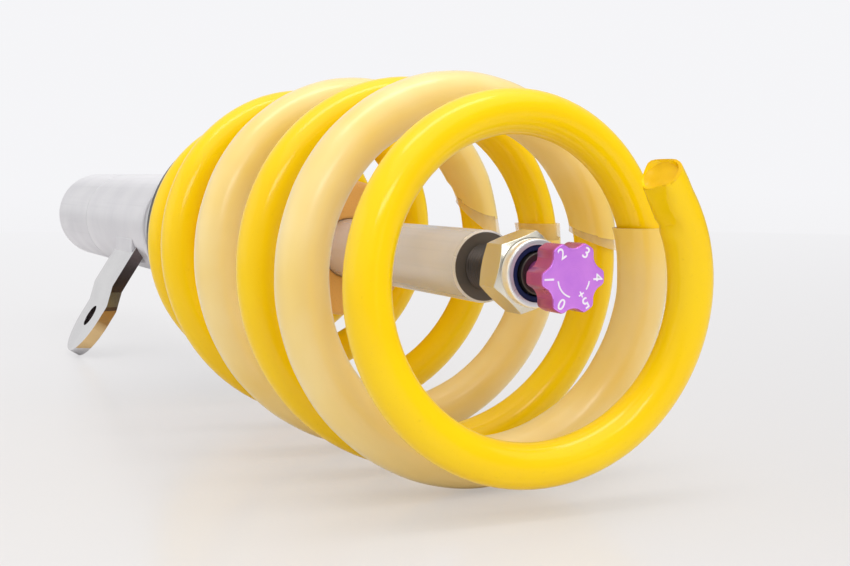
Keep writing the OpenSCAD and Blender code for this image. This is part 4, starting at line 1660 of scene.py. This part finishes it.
@dataclass
class Studio:
    """The table, the white surroundings, the lamps and the camera."""

    floor_half: float = 7.0
    floor_colour: Triple = (0.75, 0.735, 0.735)
    paper_shade: float = 0.985
    fade_span: Pair = (0.15, 2.8)
    seen_floor: Triple = (0.79, 0.77, 0.765)
    seen_share: float = 0.45
    lit_reach: Pair = (0.60, 1.60)
    seen_air: Triple = (0.915, 0.915, 0.935)
    air_light: float = 0.75
    bright_side: Triple = (-0.53, -0.565, 0.64)
    bright_span: Pair = (-0.5, 0.6)
    bright_range: Pair = (0.08, 0.8)
    camera_place: Triple = (0.54979, -0.18212, 0.09771)
    camera_look: Triple = (-0.8845, 0.4575, -0.0910)
    lens_mm: float = 50.42
    sensor_mm: float = 36.0
    lamps: tuple[SoftBox | Skylight, ...] = (
        Skylight(),
        SoftBox("overhead_box", (0.35, 0.0, 1.4), (1.1, 0.3), 4.2),
        SoftBox("left_wall", (-0.25, -1.35, 0.60), (1.3, 0.9), 2.0),
        SoftBox("front_box", (1.33, -0.33, 0.78), (0.5, 0.2), 1.7),
        SoftBox("right_strip", (1.45, 0.30, 0.45), (0.28, 0.8), 2.2, mirrored=False),
    )

    def floor_material(self) -> Material:
        """Makes the table's surface, which fades to the surroundings far away."""
        graph = Graph(bpy.data.materials.new("pale_table"))
        tone = graph.blend(graph.remap(graph.noise(700.0, 3.0), 0.3, 0.7), self.floor_colour,
                           shade(self.floor_colour, self.paper_shade))
        matt = graph.add("BsdfPrincipled", Base_Color=tone, Roughness=0.22, Specular_IOR_Level=0.5)
        from_camera = graph.length(graph.place(shift=(*self.camera_place[:2], 0.0)))
        far = graph.remap(graph.maths("DIVIDE", 1.0, from_camera), *self.fade_span, 1.0, 0.0)
        glow = graph.add("Emission", Color=graph.blend(far, self.seen_floor, self.seen_air),
                         Strength=1.0)
        unlit = graph.remap(graph.length(graph.place()), *self.lit_reach)
        share = graph.maths("MAXIMUM", graph.remap(far, 0.0, 1.0, self.seen_share, 1.0), unlit)
        seen = graph.maths("MULTIPLY", share, graph.add("LightPath").outputs["Is Camera Ray"])
        return graph.show(graph.add("MixShader", seen, matt, glow))

    def build_floor(self) -> None:
        """Lays the table."""
        bm = bmesh.new()
        bmesh.ops.create_grid(bm, x_segments=1, y_segments=1, size=self.floor_half)
        floor = linked("table_top", mesh_of(bm, "table_top"))
        floor.data.materials.append(self.floor_material())

    def build_air(self) -> None:
        """Makes the surroundings: pale to the camera, brighter to the upper left in reflections."""
        world = bpy.data.worlds.new("studio_air")
        bpy.context.scene.world = world
        graph = Graph(world, "OutputWorld")
        ray = graph.add("LightPath").outputs
        toward = graph.add("VectorMath", graph.add("TexCoord").outputs["Generated"],
                           self.bright_side, operation="DOT_PRODUCT").outputs["Value"]
        ramp = graph.add("MapRange", toward, *self.bright_span, *self.bright_range,
                         interpolation_type="SMOOTHSTEP")
        seen = graph.add("Background", shade(self.seen_air), 1.0)
        lit = graph.add("MixShader", ray["Is Glossy Ray"],
                        graph.add("Background", WHITE, self.air_light),
                        graph.add("Background", WHITE, ramp))
        through = graph.add("MixShader", ray["Is Transmission Ray"], lit, seen)
        graph.show(graph.add("MixShader", ray["Is Camera Ray"], through, seen))

    def build_camera(self) -> None:
        """Sets the camera up."""
        data = bpy.data.cameras.new("studio_camera")
        data.lens = self.lens_mm
        data.sensor_width = self.sensor_mm
        data.clip_start = 0.01
        camera = linked("studio_camera", data)
        camera.matrix_world = aimed(self.camera_place, Vector(self.camera_look))
        bpy.context.scene.camera = camera

    def build(self) -> None:
        """Sets up the whole studio."""
        bpy.context.scene.view_settings.view_transform = "Standard"
        self.build_camera()
        self.build_floor()
        self.build_air()
        for lamp in self.lamps:
            lamp.build()


def main() -> None:
    """Builds the strut round its frame, sub-assembly by sub-assembly."""
    logging.basicConfig(level=logging.INFO, format="%(name)s: %(message)s")
    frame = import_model()
    nodes: dict[str, Object] = frame["nodes"]
    law = SpringLaw()
    for assembly in (
            Studio(), Spring(law),
            WireSleeve("front_sleeve", "front_spring_sleeve", law, 0.9583333),
            WireSleeve("rear_sleeve", "rear_spring_sleeve", law, 2.9583333, clear_mm=(6.0, 6.0),
                       lead_mm=(-1.2, 3.0), level=(1.0, 0.0), tilt=(0.0, -1.1)),
            DamperRod(), TopNut(), Dial(), BumpStop(), StrutTube(),
            LinkBracket(nodes["link_bracket"]), Perch()):
        assembly.build()
    for eased in EASED:
        eased.build(nodes)
    dress_nodes(nodes)


if __name__ == "__main__":
    main()
